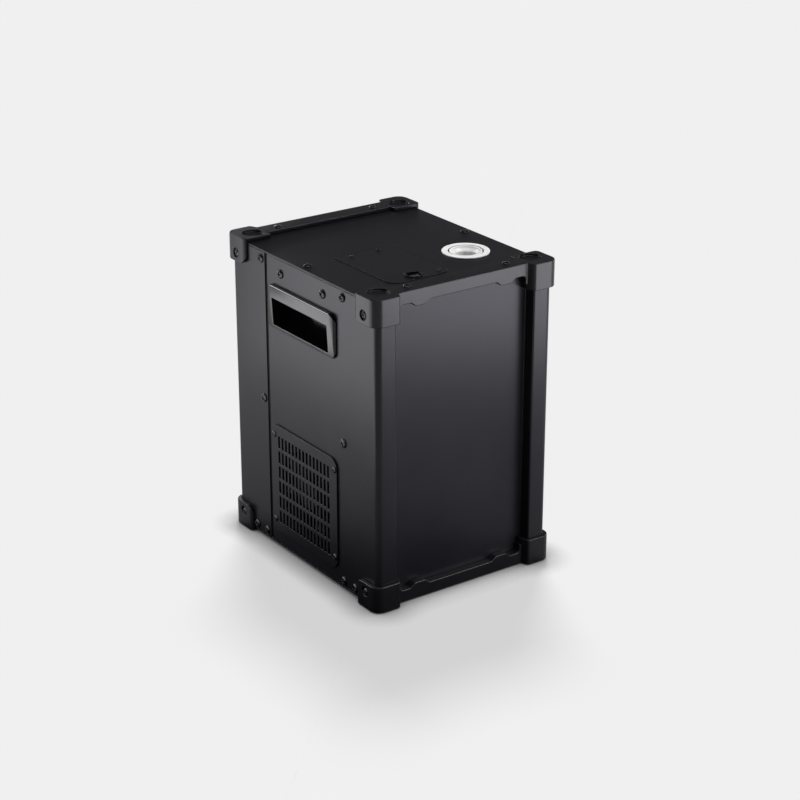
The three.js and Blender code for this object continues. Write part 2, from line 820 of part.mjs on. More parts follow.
// Fan wheel with its shaft, on the same axis as the frame
function fanRotor() {
  const start = fanStrut + gap;
  const end = fanDepth - 2 * fanTipGap;
  const hub = rod('x', [0, 0], fanHub / 2, [start, end]);
  const shaft = rod('x', [0, 0], fanShaft / 2, [0, start + sheet], smallSteps);
  const tip = fanBore / 2 - fanTipGap;
  const bladeWidth = (end - start) / Math.sin(THREE.MathUtils.degToRad(fanBladeTilt + fanBladeTilt / 2));
  const pieces = [hub, shaft];
  for (let i = 0; i < fanBlades; i += 1) {
    const blade = new THREE.BoxGeometry(fanBladeThickness, bladeWidth, tip - fanHub / 4);
    blade.translate(0, 0, (tip + fanHub / 4) / 2);
    blade.rotateZ(THREE.MathUtils.degToRad(90 - fanBladeTilt));
    blade.translate((start + end) / 2, 0, 0);
    blade.rotateX(i / fanBlades * 2 * Math.PI);
    pieces.push(solid(blade));
  }
  const limit = rod('x', [0, 0], tip, [0, end]);
  return join(...pieces).intersect(limit);
}

function nozzleRingSolid() {
  const inner = linerOuter / 2 + gap;
  const [seat, top] = [topPlateTop + gap, linerTop];
  const edge = nozzleRingProud / 3;
  return turned([
    [inner, seat - nozzleNeckDepth],
    [inner + nozzleRingNeck, seat - nozzleNeckDepth],
    [inner + nozzleRingNeck, seat],
    [nozzleRing / 2, seat],
    [nozzleRing / 2, top - edge],
    [nozzleRing / 2 - edge, top],
    [inner, top],
  ], nozzleX, nozzleY, fineSteps);
}

function nozzleLiner() {
  return turned([
    [tubeInner / 2, linerBottom],
    [linerOuter / 2, linerBottom],
    [linerOuter / 2, linerTop - linerRim],
    [linerMouth / 2 + linerRim, linerTop - linerRim],
    [linerMouth / 2, linerTop - 2 * linerRim],
    [tubeInner / 2, linerTop - linerDepth / 2],
  ], nozzleX, nozzleY, fineSteps);
}

// A plain pipe about the nozzle axis
function pipe(outer, inner, [from, to]) {
  const ring = [[inner, from], [outer, from], [outer, to], [inner, to]];
  return turned(ring, nozzleX, nozzleY, hiddenSteps);
}

function heaterTube() {
  const tube = pipe(furnaceRadius, tubeInner / 2, [tubeBottom, tubeTop]);
  const reach = [nozzleX - furnaceRadius - overrun, nozzleX];
  const feed = rod('x', [nozzleY, augerHeight], housingBore / 2, reach, hiddenSteps);
  return cut(tube, feed);
}

function insulation() {
  const inner = furnaceRadius + gap;
  return pipe(inner + sleeveWall, inner, [sleeveBottom, sleeveTop]);
}

// The coil has as many flats in a turn as the sleeve that it is wound on
function inductionCoil() {
  const radius = furnaceRadius + gap + sleeveWall + gap + coilWire / 2;
  const section = arc(0, 0, coilWire / 2, coilWire / 2, 180, 540 - 360 / coilSides, coilSides - 1);
  return helixSolid(section, radius, coilHeight / coilTurns, coilTurns, hiddenSteps);
}

function heatShield() {
  const half = shieldSize / 2;
  const [x, y] = [[nozzleX - half, nozzleX + half], [nozzleY - half, nozzleY + half]];
  const z = [shelfTop + gap, sleeveTop];
  const skin = shieldSheet;
  const hollow = block([x[0] + skin, x[1] - skin], [y[0] + skin, y[1] - skin],
    [z[0] - overrun, z[1] + overrun]);
  const feed = rod('x', [nozzleY, augerHeight], housingRadius + gap, [x[0] - overrun, nozzleX], hiddenSteps);
  return cut(block(x, y, z), hollow, feed);
}

function shelf() {
  const y = [-panelY + sheet + gap, shelfRear];
  const pieces = [block([-lapX, lapX], y, [shelfUnder, shelfTop])];
  for (const side of [-1, 1]) {
    pieces.push(block([side * lapX, side * (lapX - sheet)], y, [shelfTop - shelfFlange, shelfTop]));
  }
  const [halfX, halfY] = [blowerWidth / 2 + gap, blowerOutlet / 2 + gap];
  const hole = block([nozzleX - halfX, nozzleX + halfX], [nozzleY - halfY, nozzleY + halfY],
    [shelfUnder - overrun, shelfTop + overrun]);
  return cut(join(...pieces), hole);
}

function blowerHousing() {
  const x = [nozzleX - blowerWidth / 2, nozzleX + blowerWidth / 2];
  const inX = [x[0] + blowerWall, x[1] - blowerWall];
  const y = [nozzleY - blowerOutlet / 2, nozzleY + blowerOutlet / 2];
  const inY = [y[0] + blowerWall, y[1] - blowerWall];
  const edge = blowerFlangeEdge;
  const centre = [blowerY, blowerZ];
  const body = join(
    rod('x', centre, blowerRadius, x),
    block(x, y, [blowerZ, blowerFlangeTop]),
    block([x[0] - edge, x[1] + edge], [y[0] - edge, y[1] + edge], [flangeBottom, blowerFlangeTop]),
  );
  return cut(
    body,
    rod('x', centre, blowerRadius - blowerWall, inX),
    block(inX, inY, [blowerZ, blowerFlangeTop + overrun]),
    rod('x', centre, blowerInlet / 2, [x[0] - overrun, nozzleX], hiddenSteps),
    rod('x', centre, blowerShaft / 2 + gap, [nozzleX, x[1] + overrun], smallSteps),
  );
}

function blowerWheel() {
  const x = [nozzleX - wheelWidth / 2, nozzleX + wheelWidth / 2];
  const centre = [blowerY, blowerZ];
  const ring = (from, to) => cut(rod('x', centre, wheelRadius, [from, to], hiddenSteps),
    rod('x', centre, wheelInner, [from - overrun, to + overrun], hiddenSteps));
  const pieces = [
    ring(x[0], x[0] + wheelDisc),
    rod('x', centre, wheelRadius, [x[1] - wheelDisc, x[1]], hiddenSteps),
    rod('x', centre, wheelHub, [nozzleX, x[1]], smallSteps),
    rod('x', centre, blowerShaft / 2, [nozzleX, blowerMotorRight - sheet], smallSteps),
  ];
  for (let i = 0; i < wheelBlades; i += 1) {
    const depth = wheelRadius - wheelInner;
    const blade = new THREE.BoxGeometry(wheelWidth - wheelDisc, wheelBladeThickness, depth);
    blade.translate(0, 0, wheelInner + depth / 2 - wheelDisc / 2);
    blade.rotateX(i / wheelBlades * 2 * Math.PI);
    blade.translate(nozzleX, blowerY, blowerZ);
    pieces.push(solid(blade));
  }
  return join(...pieces);
}

function blowerMotor() {
  const centre = [blowerY, blowerZ];
  const body = rod('x', centre, blowerMotorRadius, [blowerMotorLeft, blowerMotorRight], hiddenSteps);
  const bore = [blowerMotorLeft - overrun, blowerMotorRight + overrun];
  return cut(body, rod('x', centre, blowerShaft / 2 + gap, bore, smallSteps));
}

function ductCollar() {
  const [halfX, halfY] = [blowerWidth / 2 + blowerFlangeEdge, blowerOutlet / 2 + blowerFlangeEdge];
  const centre = [nozzleX, nozzleY];
  const ledge = collarBottom + collarFlange;
  const bore = furnaceRadius + gap;
  const body = join(
    block([nozzleX - halfX, nozzleX + halfX], [nozzleY - halfY, nozzleY + halfY], [collarBottom, ledge]),
    rod('z', centre, bore + collarWall, [collarBottom, ledge + collarHeight], hiddenSteps),
  );
  return cut(
    body,
    rod('z', centre, bore, [ledge, ledge + collarHeight + overrun], hiddenSteps),
    rod('z', centre, collarBore / 2, [collarBottom - overrun, ledge + overrun], hiddenSteps),
  );
}

// Feed tube along X with a neck for the hopper and a foot on the shelf
function augerHousing() {
  const axis = [nozzleY, augerHeight];
  const x = [housingLeft, nozzleX];
  const neckX = [hopperX - housingNeckLength / 2, hopperX + housingNeckLength / 2];
  const footX = [hopperX - housingFootLength / 2, hopperX + housingFootLength / 2];
  const [neckY, footY] = [housingNeckWidth / 2, housingFootWidth / 2];
  const body = join(
    rod('x', axis, housingRadius, x, hiddenSteps),
    block(neckX, [nozzleY - neckY, nozzleY + neckY], [augerHeight, neckTop]),
    block(footX, [nozzleY - footY, nozzleY + footY], [shelfTop + gap, augerHeight]),
  );
  const throatX = [hopperX - binThroatLength / 2 + binWall, hopperX + binThroatLength / 2 - binWall];
  const throatY = binThroatWidth / 2 - binWall;
  return cut(
    body,
    rod('x', axis, housingBore / 2, [housingLeft + housingWall, nozzleX + overrun], hiddenSteps),
    rod('x', axis, augerShaft / 2 + gap, [housingLeft - overrun, nozzleX], smallSteps),
    block(throatX, [nozzleY - throatY, nozzleY + throatY], [augerHeight, neckTop + overrun]),
    rod('z', [nozzleX, nozzleY], furnaceRadius + gap, [shelfTop, neckTop + overrun], hiddenSteps),
  );
}

// Feed screw about its own axis along Z, starting at its flight end by the drive
function auger() {
  const drive = housingWall + gap + gearSideGap + gearWidth + gap;
  const inner = augerShaft / 4;
  const radius = (augerRadius + inner) / 2;
  const reach = (augerRadius - inner) / 2;
  const section = [[-reach, -augerFlight / 2], [reach, -augerFlight / 2], [reach, augerFlight / 2],
    [-reach, augerFlight / 2]];
  const flight = helixSolid(section, radius, augerPitch, flightLength / augerPitch, augerStepsPerTurn);
  const shaft = rod('z', [0, 0], augerShaft / 2, [-drive - augerFlight, flightLength], smallSteps);
  return join(flight, shaft);
}

// A spur gear about Z with straight-sided teeth, a bore and a first tooth turned by a share of a tooth
function gear(teeth, bore, turnShare) {
  const pitchRadius = gearModule * teeth / 2;
  const [outer, root] = [pitchRadius + gearModule, pitchRadius - gearModule * dedendumShare];
  const step = 2 * Math.PI / teeth;
  const slack = toothBacklash / pitchRadius / 2;
  const halves = [[root, step * toothRootShare - slack], [outer, step * toothTipShare - slack]];
  const points = [];
  for (let i = 0; i < teeth; i += 1) {
    const middle = (i + turnShare) * step;
    for (const [radius, half] of halves) {
      points.push([radius * Math.cos(middle - half), radius * Math.sin(middle - half)]);
    }
    for (const [radius, half] of [...halves].reverse()) {
      points.push([radius * Math.cos(middle + half), radius * Math.sin(middle + half)]);
    }
  }
  const body = prism('z', points, [0, gearWidth]);
  return bore > 0 ? cut(body, rod('z', [0, 0], bore, [-overrun, gearWidth + overrun], smallSteps)) : body;
}

function motorPinion() {
  const inMotor = gearSideGap / 2 + motorLength / 2;
  const shaft = rod('z', [0, 0], motorShaft / 2, [-inMotor, gearWidth], smallSteps);
  return join(gear(pinionTeeth, 0, 0), shaft);
}

function feedMotor() {
  const axis = [nozzleY, pinionHeight];
  const footY = [nozzleY - motorFootWidth / 2, nozzleY + motorFootWidth / 2];
  const body = join(
    rod('x', axis, motorRadius, [motorLeft, motorRight], hiddenSteps),
    block([motorLeft, motorRight], footY, [shelfTop + gap, pinionHeight]),
  );
  const shaftRoom = [(motorLeft + motorRight) / 2 - gap, motorRight + overrun];
  return cut(body, rod('x', axis, motorShaft / 2 + gap, shaftRoom, smallSteps));
}

// A four-sided funnel from its two side views
function funnel(grow) {
  const [topX, throatX] = [binTopLength / 2 - grow, binThroatLength / 2 - grow];
  const throatY = binThroatWidth / 2 - grow;
  const [low, high] = [binBottom - (grow > 0 ? overrun : 0), binSeat];
  const alongX = [[hopperX - throatX, low], [hopperX + throatX, low], [hopperX + throatX, binBottom],
    [hopperX + topX, high], [hopperX - topX, high], [hopperX - throatX, binBottom]];
  const alongY = [[nozzleY - throatY, low], [nozzleY + throatY, low], [nozzleY + throatY, binBottom],
    [binRear - grow, high], [binFront + grow, high], [nozzleY - throatY, binBottom]];
  return prism('y', alongX, [binFront - overrun, binRear + overrun])
    .intersect(prism('x', alongY, [hopperX - binTopLength, hopperX + binTopLength]));
}

function hopperBin() {
  const edge = binFlangeEdge;
  const outX = [lidLeft - lidGap - edge, lidRight + lidGap + edge];
  const flange = block(outX, [binFront - edge / 2, binRear + edge / 3], [binSeat - binFlange, binTop]);
  const pocket = block([lidLeft - lidGap, lidRight + lidGap], [binFront - overrun, binRear + overrun],
    [binSeat, binTop + overrun]);
  const inner = funnel(binWall);
  const mouth = block([hopperX - binTopLength / 2 + binWall, hopperX + binTopLength / 2 - binWall],
    [binFront + binWall, binRear - binWall], [binSeat - binFlange - gap, binTop]);
  return cut(join(funnel(0), cut(flange, pocket)), inner, mouth);
}

function hopperGasket() {
  const x = [hopperX - binTopLength / 2 + binWall, hopperX + binTopLength / 2 - binWall];
  const y = [binFront + binWall, binRear - binWall];
  const wide = gasketWidth / 2;
  const outer = roundedRect([x[0] - wide, x[1] + wide], [y[0] - wide + gap, y[1] + wide - gap], wide);
  const inner = block(x, [y[0] + wide, y[1] - wide], [gasketBottom - overrun, gasketTop + overrun]);
  return cut(prism('z', outer, [gasketBottom, gasketTop]), inner);
}

function lid() {
  const face = roundedRect([lidLeft, lidRight], [lidFront, lidRear], lidCorners);
  const body = prism('z', face, [lidUnder, lidTop]);
  const barrelX = [hopperX - hingeBarrelLength / 2, hopperX + hingeBarrelLength / 2];
  const half = hingeBarrel / 2;
  const barrel = join(
    rod('x', [hingeY, hingeZ], half, barrelX, smallSteps),
    block(barrelX, [hingeY - half, hingeY + half], [hingeZ, lidUnder + lidThickness / 2]),
  );
  const long = [barrelX[0] - overrun, barrelX[1] + overrun];
  const pinHole = rod('x', [hingeY, hingeZ], hingePin / 2 + gap, long, smallSteps);
  const latchHole = rod('z', [latchX, latchY], latchCup / 2 + gap, [lidUnder - overrun, lidTop + overrun]);
  return cut(join(body, barrel), pinHole, latchHole);
}

const bracketLeft = lidRight + lidGap + hingeBracketOut;
const bracketX = [bracketLeft, bracketLeft + hingeBracketWidth];

// A hinge bracket about the pin, with its inner face at x = 0
function hingeBracket() {
  const half = hingeBracketHalf;
  const body = block([0, hingeBracketWidth], [-half, half], [-half, topPlateUnder - gap - hingeZ]);
  const bore = rod('x', [0, 0], hingePin / 2 + gap, [-overrun, hingeBracketWidth + overrun], smallSteps);
  return cut(body, bore);
}

function hingePinSolid() {
  const reach = bracketX[1] + hingePinEnd - hopperX;
  return rod('x', [0, 0], hingePin / 2, [-reach, reach], smallSteps);
}

// Fixed cup of the latch, about its own axis, with z = 0 on the lid's top face
function latchRimSolid() {
  const [rim, cup, well] = [latchRim / 2, latchCup / 2, latchWell / 2];
  const floorTop = -latchDepth + latchFloor;
  const edge = latchRimProud / 2;
  return turned([
    [latchStem / 2 + gap, -latchDepth],
    [cup, -latchDepth],
    [cup, gap],
    [rim, gap],
    [rim, gap + edge],
    [rim - edge, gap + latchRimProud],
    [well + edge, gap + latchRimProud],
    [well, gap + edge],
    [well, floorTop],
    [latchStem / 2 + gap, floorTop],
  ], 0, 0);
}

// Quarter-turn knob about its own axis, turned free. Its cam points to -X and can hook under the lip at -Y.
function latchKnob() {
  const discBottom = -latchDepth + latchFloor + gap;
  const discTop = discBottom + latchDiscHeight;
  const camZ = [-latchDepth - gap - camThickness, -latchDepth - gap];
  const halfCam = camWidth / 2;
  const cam = [...arc(0, 0, halfCam, halfCam, -90, 90), [-camLength, halfCam], [-camLength, -halfCam]];
  return join(
    rod('z', [0, 0], latchDisc / 2, [discBottom, discTop]),
    block([-latchBarLength / 2, latchBarLength / 2], [-latchBar / 2, latchBar / 2],
      [discBottom, discTop + latchBarHeight]),
    rod('z', [0, 0], latchStem / 2, [camZ[0], discTop], smallSteps),
    prism('z', cam, camZ),
  );
}

function powerSupply() {
  const [halfX, halfY] = [supplyLength / 2, supplyWidth / 2];
  const body = block([-halfX, halfX], [-halfY, halfY], [0, supplyHeight]);
  const slots = [];
  for (let i = 0; i < supplySlots; i += 1) {
    const x = (i - (supplySlots - 1) / 2) * supplyLength / (supplySlots + 1);
    slots.push(block([x - sheet, x + sheet], [-supplyWidth / 4, supplyWidth / 4],
      [supplyHeight - sheet, supplyHeight + overrun]));
  }
  return cut(body, ...slots);
}

// Finned cooler of the coil driver, about the middle of its base
function driverSink() {
  const x = [-driverLength / 2, driverLength / 2];
  const pieces = [block(x, [-driverWidth / 2, driverWidth / 2], [0, driverBase])];
  const pitch = (driverWidth - driverFin) / (driverFins - 1);
  for (let i = 0; i < driverFins; i += 1) {
    const y = (i - (driverFins - 1) / 2) * pitch;
    pieces.push(block(x, [y - driverFin / 2, y + driverFin / 2], [0, driverHeight]));
  }
  return join(...pieces);
}

function controlPanel() {
  const half = controlWidth / 2;
  const face = roundedRect([-half, half], controlZ, controlRound);
  const body = prism('y', face, [rearFace, rearFace + controlThickness]);
  const through = [rearFace - overrun, rearFace + controlThickness + overrun];
  const windowZ = controlMiddleZ + windowRise;
  const hole = block([-windowWidth / 2 - gap, windowWidth / 2 + gap], through,
    [windowZ - windowHeight / 2 - gap, windowZ + windowHeight / 2 + gap]);
  const holes = buttonShares.map((share) => rod('y', [share * half, controlMiddleZ - buttonDrop],
    buttonRadius + gap, through));
  return cut(body, hole, ...holes);
}

function displayWindow() {
  const outer = rearFace + controlThickness - windowSink;
  const windowZ = controlMiddleZ + windowRise;
  const glass = block([-windowWidth / 2, windowWidth / 2], [outer - windowDepth, outer],
    [windowZ - windowHeight / 2, windowZ + windowHeight / 2]);
  const frame = controlFrame / 2;
  const [backX, backZ] = [windowWidth / 2 + frame, windowHeight / 2 + frame];
  const back = block([-backX, backX], [outer - windowDepth, rearFace - gap],
    [windowZ - backZ, windowZ + backZ]);
  return join(glass, back);
}

// A push button about its own axis along Y, with y = 0 at the inner face of the panel plate
function button() {
  const face = controlThickness + buttonProud;
  const back = -boardDistance + buttonTravel + gap;
  return join(
    rod('y', [0, 0], buttonRadius, [-gap - buttonFlangeThickness, face]),
    rod('y', [0, 0], buttonRadius + buttonFlange, [-gap - buttonFlangeThickness, -gap], smallSteps),
    rod('y', [0, 0], buttonStem / 2, [back, -gap], smallSteps),
  );
}

function controlBoard() {
  const half = controlWidth / 2 - controlFrame / 2;
  const outer = rearFace - boardDistance;
  const body = block([-half, half], [outer - boardThickness, outer], [controlZ[0], controlZ[1]]);
  const posts = [];
  const reach = [outer - boardThickness / 2, panelY - sheet - gap];
  for (const x of [-half + standoffRadius, half - standoffRadius]) {
    for (const z of [controlZ[0] + standoffRadius, controlZ[1] - standoffRadius]) {
      posts.push(rod('y', [x, z], standoffRadius, reach, smallSteps));
    }
  }
  return join(body, ...posts);
}

// A panel socket about its own axis along Y, with y = 0 at the back of its flange
function socket(kind) {
  const flange = roundedRect([-socketFlangeWidth / 2, socketFlangeWidth / 2],
    [-socketFlangeHeight / 2, socketFlangeHeight / 2], socketRound);
  const floorY = socketFlange - socketBoreDepth;
  const body = join(
    prism('y', flange, [0, socketFlange]),
    rod('y', [0, 0], socketBarrel / 2, [-socketBarrelDepth, socketFlange], hiddenSteps),
  );
  const bored = cut(body, rod('y', [0, 0], socketBore / 2, [floorY, socketFlange + overrun]));
  if (kind === 'ring') {
    const core = rod('y', [0, 0], socketCore / 2, [floorY - gap, socketFlange - socketCoreSink]);
    return join(bored, core);
  }
  const pins = [];
  for (let i = 0; i < 3; i += 1) {
    const angle = THREE.MathUtils.degToRad(90 + i * 90);
    const at = [Math.cos(angle) * socketPinCircle / 2, Math.sin(angle) * socketPinCircle / 2];
    if (kind === 'pins') {
      pins.push(rod('y', at, socketPin / 2, [floorY - gap, floorY + socketPinLength], smallSteps / 2));
    } else {
      pins.push(rod('y', at, socketPin / 2, [floorY, socketFlange + overrun], smallSteps / 2));
    }
  }
  if (kind === 'pins') {
    return join(bored, ...pins);
  }
  const face = rod('y', [0, 0], socketBore / 2 - sheet, [floorY - gap, socketFlange - gap]);
  return cut(join(bored, face), ...pins);
}

// Frame of the power switch about its own middle, with y = 0 at the back of its flange
function rockerFrameSolid() {
  const [x, z] = [rockerWidth / 2 + rockerClearance, rockerHeight / 2 + rockerClearance];
  const wide = rockerFrame;
  const body = join(
    block([-x - wide, x + wide], [0, rockerFrameThickness], [-z - wide, z + wide]),
    block([-x - sheet, x + sheet], [-rockerDepth, rockerFrameThickness / 2], [-z - sheet, z + sheet]),
  );
  const well = block([-x, x], [-rockerDepth + sheet, rockerFrameThickness + overrun], [-z, z]);
  return cut(body, well);
}

// Rocker about its own axle, with its two faces meeting at a shallow angle
function rocker() {
  const face = rockerAxleSink + rockerFrameThickness + rockerProud;
  const tilt = Math.tan(THREE.MathUtils.degToRad(rockerTilt)) * rockerHeight / 2;
  const half = rockerHeight / 2;
  const heel = rockerAxleSink / 2;
  const section = [[-heel, -half / 2], [face - tilt - sheet, -half], [face - sheet, -half + tilt / 2],
    [face - tilt, 0], [face - sheet, half - tilt / 2], [face - tilt - sheet, half], [-heel, half / 2]];
  return prism('x', section, [-rockerWidth / 2, rockerWidth / 2]);
}

function fuseHolder() {
  const grip = arc(0, 0, fuseRadius, fuseRadius, 0, 360 - 360 / smallSteps, smallSteps - 1);
  return join(
    prism('y', grip, [0, fuseProud]),
    rod('y', [0, 0], fuseBody, [-fuseDepth, fuseProud / 2], smallSteps),
  );
}

// Finishes: colour, roughness and metalness
const finishes = {
  powderCoat: [0x1b1b1e, 0.55, 0.35],
  mouldedBlack: [0x1f1f22, 0.5, 0.05],
  darkGloss: [0x141416, 0.28, 0.05],
  whiteEnamel: [0xe9e9e6, 0.4, 0.1],
  steel: [0x9a9ca0, 0.35, 0.95],
  aluminium: [0xb9bcc0, 0.42, 0.9],
  copper: [0xb5693c, 0.35, 1],
  brass: [0xb08d4a, 0.35, 1],
  ceramic: [0xd9d4c8, 0.85, 0],
  rubber: [0x151515, 0.9, 0],
  board: [0x1d4a2c, 0.6, 0.05],
  fanBlack: [0x17171a, 0.45, 0],
  glass: [0x0c1a22, 0.08, 0],
};

const model = new THREE.Group();

// Adds one named piece, placed by its position and rotation
function add(name, finish, body, place = [0, 0, 0], turn = [0, 0, 0]) {
  const mesh = body.getMesh();
  const geometry = new THREE.BufferGeometry();
  geometry.setAttribute('position', new THREE.BufferAttribute(new Float32Array(mesh.vertProperties), 3));
  geometry.setIndex(new THREE.BufferAttribute(new Uint32Array(mesh.triVerts), 1));
  geometry.computeVertexNormals();
  const [color, roughness, metalness] = finishes[finish];
  const piece = new THREE.Mesh(geometry, new THREE.MeshStandardMaterial({ color, roughness, metalness }));
  piece.name = name;
  piece.position.set(...place);
  piece.rotation.set(...turn);
  model.add(piece);
}

const halfTurn = Math.PI;
const quarterTurn = Math.PI / 2;

function addCase() {
  add('front_shell', 'powderCoat', frontShell());
  add('rear_shell', 'powderCoat', rearShell());
  add('top_plate', 'powderCoat', topPlate());
  add('base_plate', 'powderCoat', basePlate());
  const topBezel = bezel(overallHeight, -1, topCover - gap);
  const bottomBezel = bezel(footStand, 1, bottomCover - gap);
  add('bezel_front_top', 'mouldedBlack', topBezel);
  add('bezel_rear_top', 'mouldedBlack', topBezel, [0, 0, 0], [0, 0, halfTurn]);
  add('bezel_front_bottom', 'mouldedBlack', bottomBezel);
  add('bezel_rear_bottom', 'mouldedBlack', bottomBezel, [0, 0, 0], [0, 0, halfTurn]);
  const footX = halfWidth - stackRecessInsetX;
  const footY = halfDepth - stackRecessInsetY;
  for (const [front, sideY] of [['front', -1], ['rear', 1]]) {
    for (const [side, sideX] of [['left', -1], ['right', 1]]) {
      add(`foot_${front}_${side}`, 'rubber', foot(), [sideX * footX, sideY * footY, 0]);
    }
  }
}

function addSides() {
  for (const [name, side] of [['left', -1], ['right', 1]]) {
    add(`handle_${name}`, 'darkGloss', handle(side));
    const turn = [0, 0, side < 0 ? halfTurn : 0];
    const grilleX = side * (caseX + gap);
    add(`vent_grille_${name}`, 'powderCoat', ventGrille(), [grilleX, ventMiddleY, ventMiddleZ], turn);
    const fanPlace = [side * fanInnerX, ventMiddleY, ventMiddleZ];
    add(`fan_frame_${name}`, 'fanBlack', fanFrame(), fanPlace, turn);
    add(`fan_rotor_${name}`, 'fanBlack', fanRotor(), fanPlace, turn);
  }
}

function addFurnace() {
  add('nozzle_ring', 'whiteEnamel', nozzleRingSolid());
  add('nozzle_liner', 'whiteEnamel', nozzleLiner());
  add('heater_tube', 'steel', heaterTube());
  add('insulation_sleeve', 'ceramic', insulation());
  add('induction_coil', 'copper', inductionCoil(), [nozzleX, nozzleY, sleeveBottom + coilStart]);
  add('heat_shield', 'steel', heatShield());
  add('shelf', 'steel', shelf());
  add('blower_housing', 'fanBlack', blowerHousing());
  add('blower_wheel', 'fanBlack', blowerWheel());
  add('blower_motor', 'steel', blowerMotor());
  add('duct_collar', 'rubber', ductCollar());
}

function addFeeder() {
  add('hopper_bin', 'aluminium', hopperBin());
  add('hopper_gasket', 'rubber', hopperGasket());
  add('auger_housing', 'aluminium', augerHousing());
  const alongX = [0, quarterTurn, 0];
  add('auger', 'steel', auger(), [flightStart, nozzleY, augerHeight], alongX);
  const wheel = gear(gearTeeth, augerShaft / 2 + gap, meshTurnShare);
  add('auger_gear', 'brass', wheel, [gearLeft, nozzleY, augerHeight], alongX);
  add('motor_pinion', 'brass', motorPinion(), [gearLeft, nozzleY, pinionHeight], alongX);
  add('feed_motor', 'steel', feedMotor());
}

function addLid() {
  add('lid', 'powderCoat', lid());
  add('hinge_pin', 'steel', hingePinSolid(), [hopperX, hingeY, hingeZ]);
  const out = bracketX[0] - hopperX;
  add('hinge_bracket_right', 'steel', hingeBracket(), [hopperX + out, hingeY, hingeZ]);
  add('hinge_bracket_left', 'steel', hingeBracket(), [hopperX - out - hingeBracketWidth, hingeY, hingeZ]);
  add('latch_cup', 'darkGloss', latchRimSolid(), [latchX, latchY, lidTop]);
  add('latch_knob', 'darkGloss', latchKnob(), [latchX, latchY, lidTop]);
}

function addElectrics() {
  add('power_supply', 'aluminium', powerSupply(), [supplyX, supplyY, basePlateTop + gap]);
  add('driver_heat_sink', 'aluminium', driverSink(), [driverX, driverY, basePlateTop + gap]);
  add('control_panel', 'darkGloss', controlPanel());
  add('display_window', 'glass', displayWindow());
  add('control_board', 'board', controlBoard());
  const buttonZ = controlMiddleZ - buttonDrop;
  buttonShares.forEach((share, i) => {
    add(`button_${i + 1}`, 'rubber', button(), [share * controlWidth / 2, rearFace, buttonZ]);
  });
  const sockets = { signal_outlet: 'holes', signal_inlet: 'pins', mains_outlet: 'ring', mains_inlet: 'ring' };
  Object.entries(sockets).forEach(([name, kind], i) => {
    const [x, z] = socketPlaces[i];
    add(name, 'darkGloss', socket(kind), [x, rearFace, z]);
  });
  add('switch_frame', 'darkGloss', rockerFrameSolid(), [0, rearFace, rockerZ]);
  const tilt = THREE.MathUtils.degToRad(rockerTilt);
  add('power_rocker', 'darkGloss', rocker(), [0, rearFace - rockerAxleSink, rockerZ], [tilt, 0, 0]);
  add('fuse_holder', 'darkGloss', fuseHolder(), [0, rearFace, fuseZ]);
}

addCase();
addSides();
addFurnace();
addFeeder();
addLid();
addElectrics();

export default model;
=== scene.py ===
# Cold spark machine: finishes, rounded edges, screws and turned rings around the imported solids
import math
import bpy
import bmesh
import numpy as np
from mathutils import Matrix, Vector


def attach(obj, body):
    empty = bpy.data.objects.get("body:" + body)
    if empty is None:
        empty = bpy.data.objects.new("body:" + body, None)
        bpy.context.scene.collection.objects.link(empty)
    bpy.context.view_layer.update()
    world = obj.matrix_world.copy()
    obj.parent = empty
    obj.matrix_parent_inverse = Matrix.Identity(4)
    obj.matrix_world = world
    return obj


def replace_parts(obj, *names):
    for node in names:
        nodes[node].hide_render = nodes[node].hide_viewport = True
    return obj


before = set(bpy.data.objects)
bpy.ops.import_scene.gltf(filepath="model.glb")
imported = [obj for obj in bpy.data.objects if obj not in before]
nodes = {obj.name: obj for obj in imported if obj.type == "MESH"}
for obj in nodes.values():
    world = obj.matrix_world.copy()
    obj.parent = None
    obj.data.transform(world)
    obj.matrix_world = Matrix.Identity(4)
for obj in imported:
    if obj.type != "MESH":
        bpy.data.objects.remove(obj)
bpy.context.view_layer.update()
mm = 0.001
print("frame loaded:", len(nodes), "pieces")


# Camera, at the photograph's viewing angle
camera = {
    "place": (-1072.5, -1533.8, 916.2),  # mm
    "turn": 35.286,                      # degrees to the right of straight ahead
    "dip": 22.239,                       # degrees below the horizon
    "lens": 93.21,                       # mm
    "sensor": 36.0,                      # mm
    "clip": (0.05, 50.0),                # m
}


def addCamera(settings):
    data = bpy.data.cameras.new("viewCamera")
    data.sensor_width = settings["sensor"]
    data.lens = settings["lens"]
    data.clip_start, data.clip_end = settings["clip"]
    piece = bpy.data.objects.new("viewCamera", data)
    piece.location = [value * mm for value in settings["place"]]
    piece.rotation_euler = (math.radians(90.0 - settings["dip"]), 0.0, -math.radians(settings["turn"]))
    bpy.context.scene.collection.objects.link(piece)
    bpy.context.scene.camera = piece


addCamera(camera)
bpy.context.scene.view_settings.view_transform = "Standard"


# Helpers for shader nodes
nodeSpacing = 220.0  # between one node and the next in the node editor
opaque = 1.0


def feed(tree, socket, value):
    # Links another node's output to the socket, or sets the socket to a plain value
    if isinstance(value, bpy.types.NodeSocket):
        tree.links.new(value, socket)
    else:
        socket.default_value = value


def addNode(tree, kind, **inputs):
    node = tree.nodes.new(kind)
    node.location = (nodeSpacing * len(tree.nodes), 0.0)
    for name, value in inputs.items():
        feed(tree, node.inputs[name.replace("_", " ")], value)
    return node


def addMath(tree, operation, *values):
    node = addNode(tree, "ShaderNodeMath")
    node.operation = operation
    for socket, value in zip(node.inputs, values):
        feed(tree, socket, value)
    return node.outputs[0]


